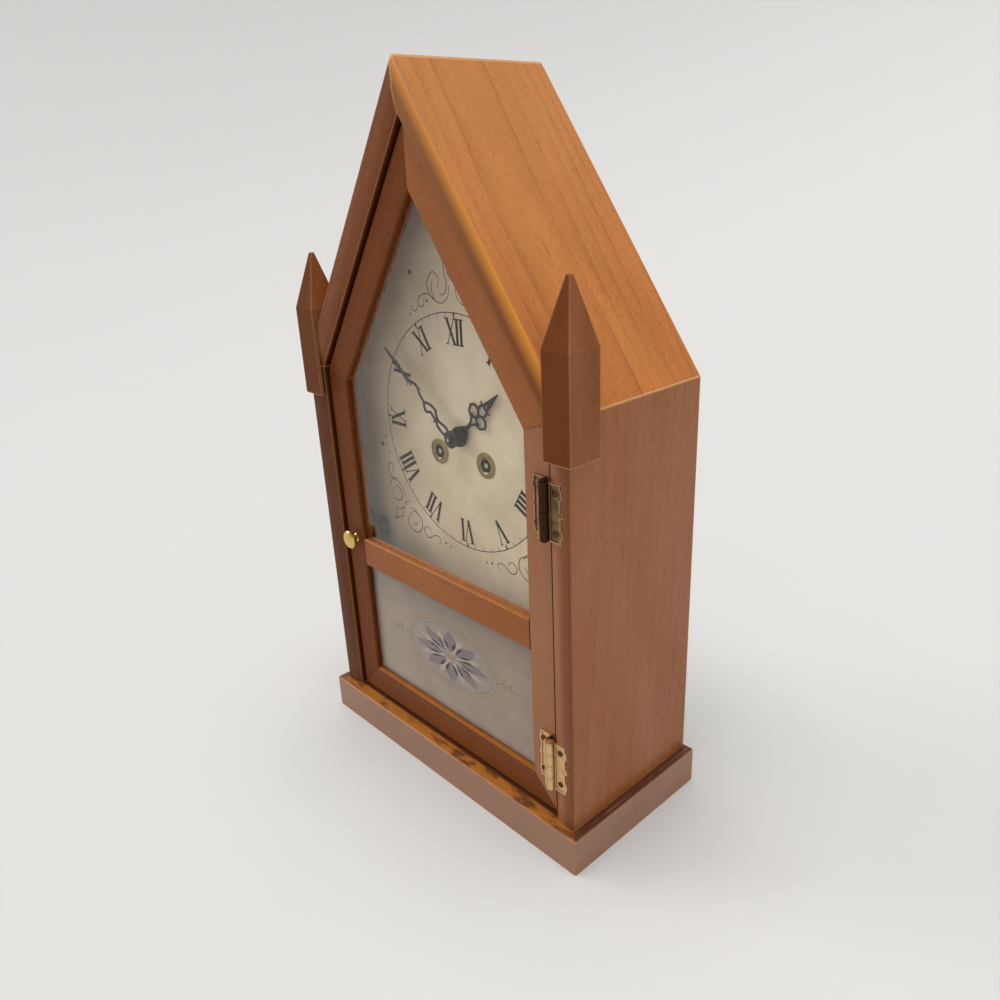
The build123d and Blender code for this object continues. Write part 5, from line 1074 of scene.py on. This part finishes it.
class CLOCK_OT_glass(bpy.types.Operator):
    """Glazes the door, and paints the ground and an oval rosette behind the lower pane"""
    bl_idname = "clock.glass"
    bl_label = "Glaze and Paint the Door"

    def execute(self, context):
        glass = context.scene.clock_glass
        wear(window_glass("window_glass", glass), "door_glass_upper", "door_glass_lower")

        low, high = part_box("door_glass_lower")
        coat = glass.paint_depth
        gap = coat / 4
        rim = glass_paint("ochre_rim_paint", glass.rim, glass.rim_thin, 6 * MM)
        violet = glass_paint("violet_grey_paint", glass.violet, glass.violet_thin, 7 * MM)
        cream = glass_paint("cream_paint", glass.cream, glass.cream_thin, 7 * MM)
        line = glass_paint("drawing_line_paint", glass.line, glass.line_thin, 5 * MM)
        field = glass_paint("oval_field_paint", glass.field, glass.field_thin, 9 * MM)
        ground = glass_paint("grey_ground_paint", glass.ground, glass.cloud, 24 * MM)

        def coated(name, finish, layer, outlines=(), loops=()):
            """Outlines filled with paint, and loops as a path, its width and if it closes."""
            front = high.y + gap + layer * (coat + gap)
            shapes = [slab(outline, front, front + coat) for outline in outlines]
            shapes += [
                ribbon(path, np.full(len(path), width), front, front + coat, looped=closes)
                for path, width, closes in loops
            ]
            new_piece(name, shapes, finish, "door")

        centre = np.array([(low.x + high.x) / 2 + OVAL_OFFSET[0],
                           (low.z + high.z) / 2 + OVAL_OFFSET[1]])
        half_axes = np.array([glass.oval_width, glass.oval_height])
        coated("rosette_violet_petals", violet, PETAL_COAT,
               rosette_ring(centre, half_axes, PETALS, 0, VIOLET_SHARES))
        coated("rosette_cream_petals", cream, PETAL_COAT,
               rosette_ring(centre, half_axes, PETALS, math.pi / PETALS, CREAM_SHARES))
        coated("rosette_button", rim, LINE_COAT,
               [ellipse(centre, *half_axes * BUTTON_SHARE, BUTTON_STEPS)])
        outer = ellipse(centre, *half_axes, OVAL_STEPS)
        inner = ellipse(centre, *half_axes - INNER_LINE_INSET, OVAL_STEPS)
        coated("oval_rim", rim, PETAL_COAT, loops=[(outer, RIM_WIDTH, True)])

        lines, sprays = [(inner, INNER_LINE_WIDTH, True)], []
        for side in (-1, 1):
            end = centre + (side * glass.oval_width, 0)
            stem = smooth([end + (side * out, up) for out, up in STEM_POINTS])
            lines.append((stem, STEM_WIDTH, False))
            for share, lift in LEAVES:
                foot = stem[int(share * (len(stem) - 1))]
                sprays.append(petal(foot, lift if side > 0 else math.pi - lift, 0, *LEAF_SIZE))
        coated("oval_lines", line, LINE_COAT, loops=lines)
        coated("oval_leaf_sprays", rim, PETAL_COAT, sprays)
        coated("oval_field", field, FIELD_COAT, [outer])
        left, right = low.x + GROUND_MARGIN, high.x - GROUND_MARGIN
        foot, head = low.z + GROUND_MARGIN, high.z - GROUND_MARGIN
        coated("lower_glass_ground", ground, GROUND_COAT, [
            [(left, foot), (right, foot), (right, head), (left, head)],
        ])
        return {"FINISHED"}


# Stage

# Photograph's viewing angle, from the vanishing lines of the case
CAMERA_PLACE = (424.91 * MM, -376.57 * MM, 441.44 * MM)
CAMERA_YAW = -0.8338
CAMERA_PITCH = -0.3844
CAMERA_ROLL = -0.0466
FRAME_PIXELS = 1000
FOCAL_PIXELS = 836.32
SENSOR_MM = 36.0

# Which ways the lights shine, and how many degrees of the sky each covers
TOP_HEADING, TOP_SPREAD = (0.0, 0.06, -1.0), 46
SIDE_HEADING, SIDE_SPREAD = (0.78, 0.45, -0.44), 25

# Floor: radius of its flat middle, radius of the arc that curls up round it and how far it curls
FLOOR_FLAT = 1.5
FLOOR_CURL = 5.0
FLOOR_BEND = math.radians(60)


def studio_floor(name, tint):
    """Matt pale paper: flat, with the faintest mottle."""
    finish, node, place = new_finish(name)
    mottle = node("TexNoise", {"Vector": place, "Scale": 9.0, "Detail": 2.0})
    shade = tuple(part * 0.985 for part in tint[:3]) + (1.0,)
    surface = node("BsdfPrincipled", {
        "Base Color": node("Mix", {0: mottle, 6: tint, 7: shade}, **COLOURS),
        "Roughness": 0.9, "Specular IOR Level": 0.2,
    })
    node("OutputMaterial", {"Surface": surface}, out=None)
    return finish


def broad_light(name, strength, degrees, heading):
    """Even light from far away that covers an angle of the sky, as a softbox does."""
    light = bpy.data.lights.new(name, "SUN")
    light.energy, light.angle = strength, math.radians(degrees)
    lamp = bpy.data.objects.new(name, light)
    lamp.rotation_euler = Vector(heading).to_track_quat("-Z", "Y").to_euler()
    bpy.context.scene.collection.objects.link(lamp)


def curled_disc():
    """Floor mesh: a disc whose profile is flat and then an arc, (F + C sin t, C (1 - cos t)),
    carried round the vertical axis."""
    bend = np.linspace(0, FLOOR_BEND, 24)
    # The disc's middle is a hole too small to see, which keeps every face a quad
    reach = np.concatenate([[1e-4], FLOOR_FLAT + FLOOR_CURL * np.sin(bend)])
    height = np.concatenate([[0], FLOOR_CURL * (1 - np.cos(bend))])
    turn = np.linspace(0, 2 * math.pi, 96, endpoint=False)[:, None]
    grid = np.stack([reach * np.cos(turn), reach * np.sin(turn),
                     np.broadcast_to(height, (len(turn), len(height)))], axis=2)
    index = np.arange(grid.shape[0] * grid.shape[1]).reshape(grid.shape[:2])
    after = np.roll(index, -1, axis=0)
    quads = np.stack([index[:, :-1], index[:, 1:], after[:, 1:], after[:, :-1]], axis=2)
    mesh = bpy.data.meshes.new("studio_floor")
    mesh.from_pydata(grid.reshape(-1, 3).tolist(), [], quads.reshape(-1, 4).tolist())
    mesh.polygons.foreach_set("use_smooth", [True] * len(mesh.polygons))
    return mesh


class CLOCK_OT_stage(bpy.types.Operator):
    """Lays the pale floor, lights it from above and places the camera"""
    bl_idname = "clock.stage"
    bl_label = "Set the Stage"

    def execute(self, context):
        stage = context.scene.clock_stage
        floor = bpy.data.objects.new("studio_floor", curled_disc())
        floor.data.materials.append(studio_floor("matt_studio_paper", stage.floor))
        context.scene.collection.objects.link(floor)

        world = bpy.data.worlds.new("studio_white")
        world.use_nodes = True
        world.node_tree.nodes.clear()
        node = partial(add, world.node_tree)
        seen = node("LightPath", out="Is Camera Ray")
        strength = node("MapRange", {0: seen, 1: 0.0, 2: 1.0, 3: stage.sky, 4: stage.backdrop})
        sky = node("Background", {"Color": (1, 1, 1, 1), "Strength": strength})
        node("OutputWorld", {"Surface": sky}, out=None)
        context.scene.world = world

        broad_light("soft_top_light", stage.overhead, TOP_SPREAD, TOP_HEADING)
        broad_light("soft_side_light", stage.side, SIDE_SPREAD, SIDE_HEADING)
        context.scene.view_settings.view_transform = "Standard"

        camera = bpy.data.cameras.new("photograph_view")
        camera.sensor_width = SENSOR_MM
        camera.lens = FOCAL_PIXELS / FRAME_PIXELS * SENSOR_MM
        camera.clip_start, camera.clip_end = 0.01, 20.0
        ahead = Vector((math.sin(CAMERA_YAW) * math.cos(CAMERA_PITCH),
                        math.cos(CAMERA_YAW) * math.cos(CAMERA_PITCH), math.sin(CAMERA_PITCH)))
        level = Vector((math.cos(CAMERA_YAW), -math.sin(CAMERA_YAW), 0))
        over = level.cross(ahead)
        right = math.cos(CAMERA_ROLL) * level + math.sin(CAMERA_ROLL) * over
        up = math.cos(CAMERA_ROLL) * over - math.sin(CAMERA_ROLL) * level
        viewer = bpy.data.objects.new("photograph_view", camera)
        viewer.matrix_world = Matrix((right, up, -ahead)).transposed().to_4x4()
        viewer.location = CAMERA_PLACE
        context.scene.collection.objects.link(viewer)
        context.scene.camera = viewer
        return {"FINISHED"}


# Panel and registration

class CLOCK_PT_panel(bpy.types.Panel):
    """Sidebar panel with every step"""
    bl_idname = "CLOCK_PT_panel"
    bl_label = "Steeple Clock"
    bl_space_type = "VIEW_3D"
    bl_region_type = "UI"
    bl_category = "Steeple Clock"

    def draw(self, context):
        for step in STEPS:
            self.layout.operator(step.bl_idname)


SETTINGS = {
    "clock_wood": ClockWood,
    "clock_metal": ClockMetal,
    "clock_dial": ClockDial,
    "clock_glass": ClockGlass,
    "clock_stage": ClockStage,
}
STEPS = (
    CLOCK_OT_case_wood,
    CLOCK_OT_inner_wood,
    CLOCK_OT_brass,
    CLOCK_OT_movement,
    CLOCK_OT_dial,
    CLOCK_OT_hands,
    CLOCK_OT_glass,
    CLOCK_OT_stage,
)


def register():
    """Registers the settings, the steps and the panel."""
    for kind in (*SETTINGS.values(), *STEPS, CLOCK_PT_panel):
        bpy.utils.register_class(kind)
    for name, kind in SETTINGS.items():
        setattr(bpy.types.Scene, name, bpy.props.PointerProperty(type=kind))


def unregister():
    """Takes them out again."""
    for name in SETTINGS:
        delattr(bpy.types.Scene, name)
    for kind in (CLOCK_PT_panel, *reversed(STEPS), *reversed(SETTINGS.values())):
        bpy.utils.unregister_class(kind)


def main():
    """Runs every step in order."""
    register()
    bpy.ops.clock.case_wood()
    bpy.ops.clock.inner_wood()
    bpy.ops.clock.brass()
    bpy.ops.clock.movement()
    bpy.ops.clock.dial()
    bpy.ops.clock.hands()
    bpy.ops.clock.glass()
    bpy.ops.clock.stage()


if __name__ == "__main__":
    main()
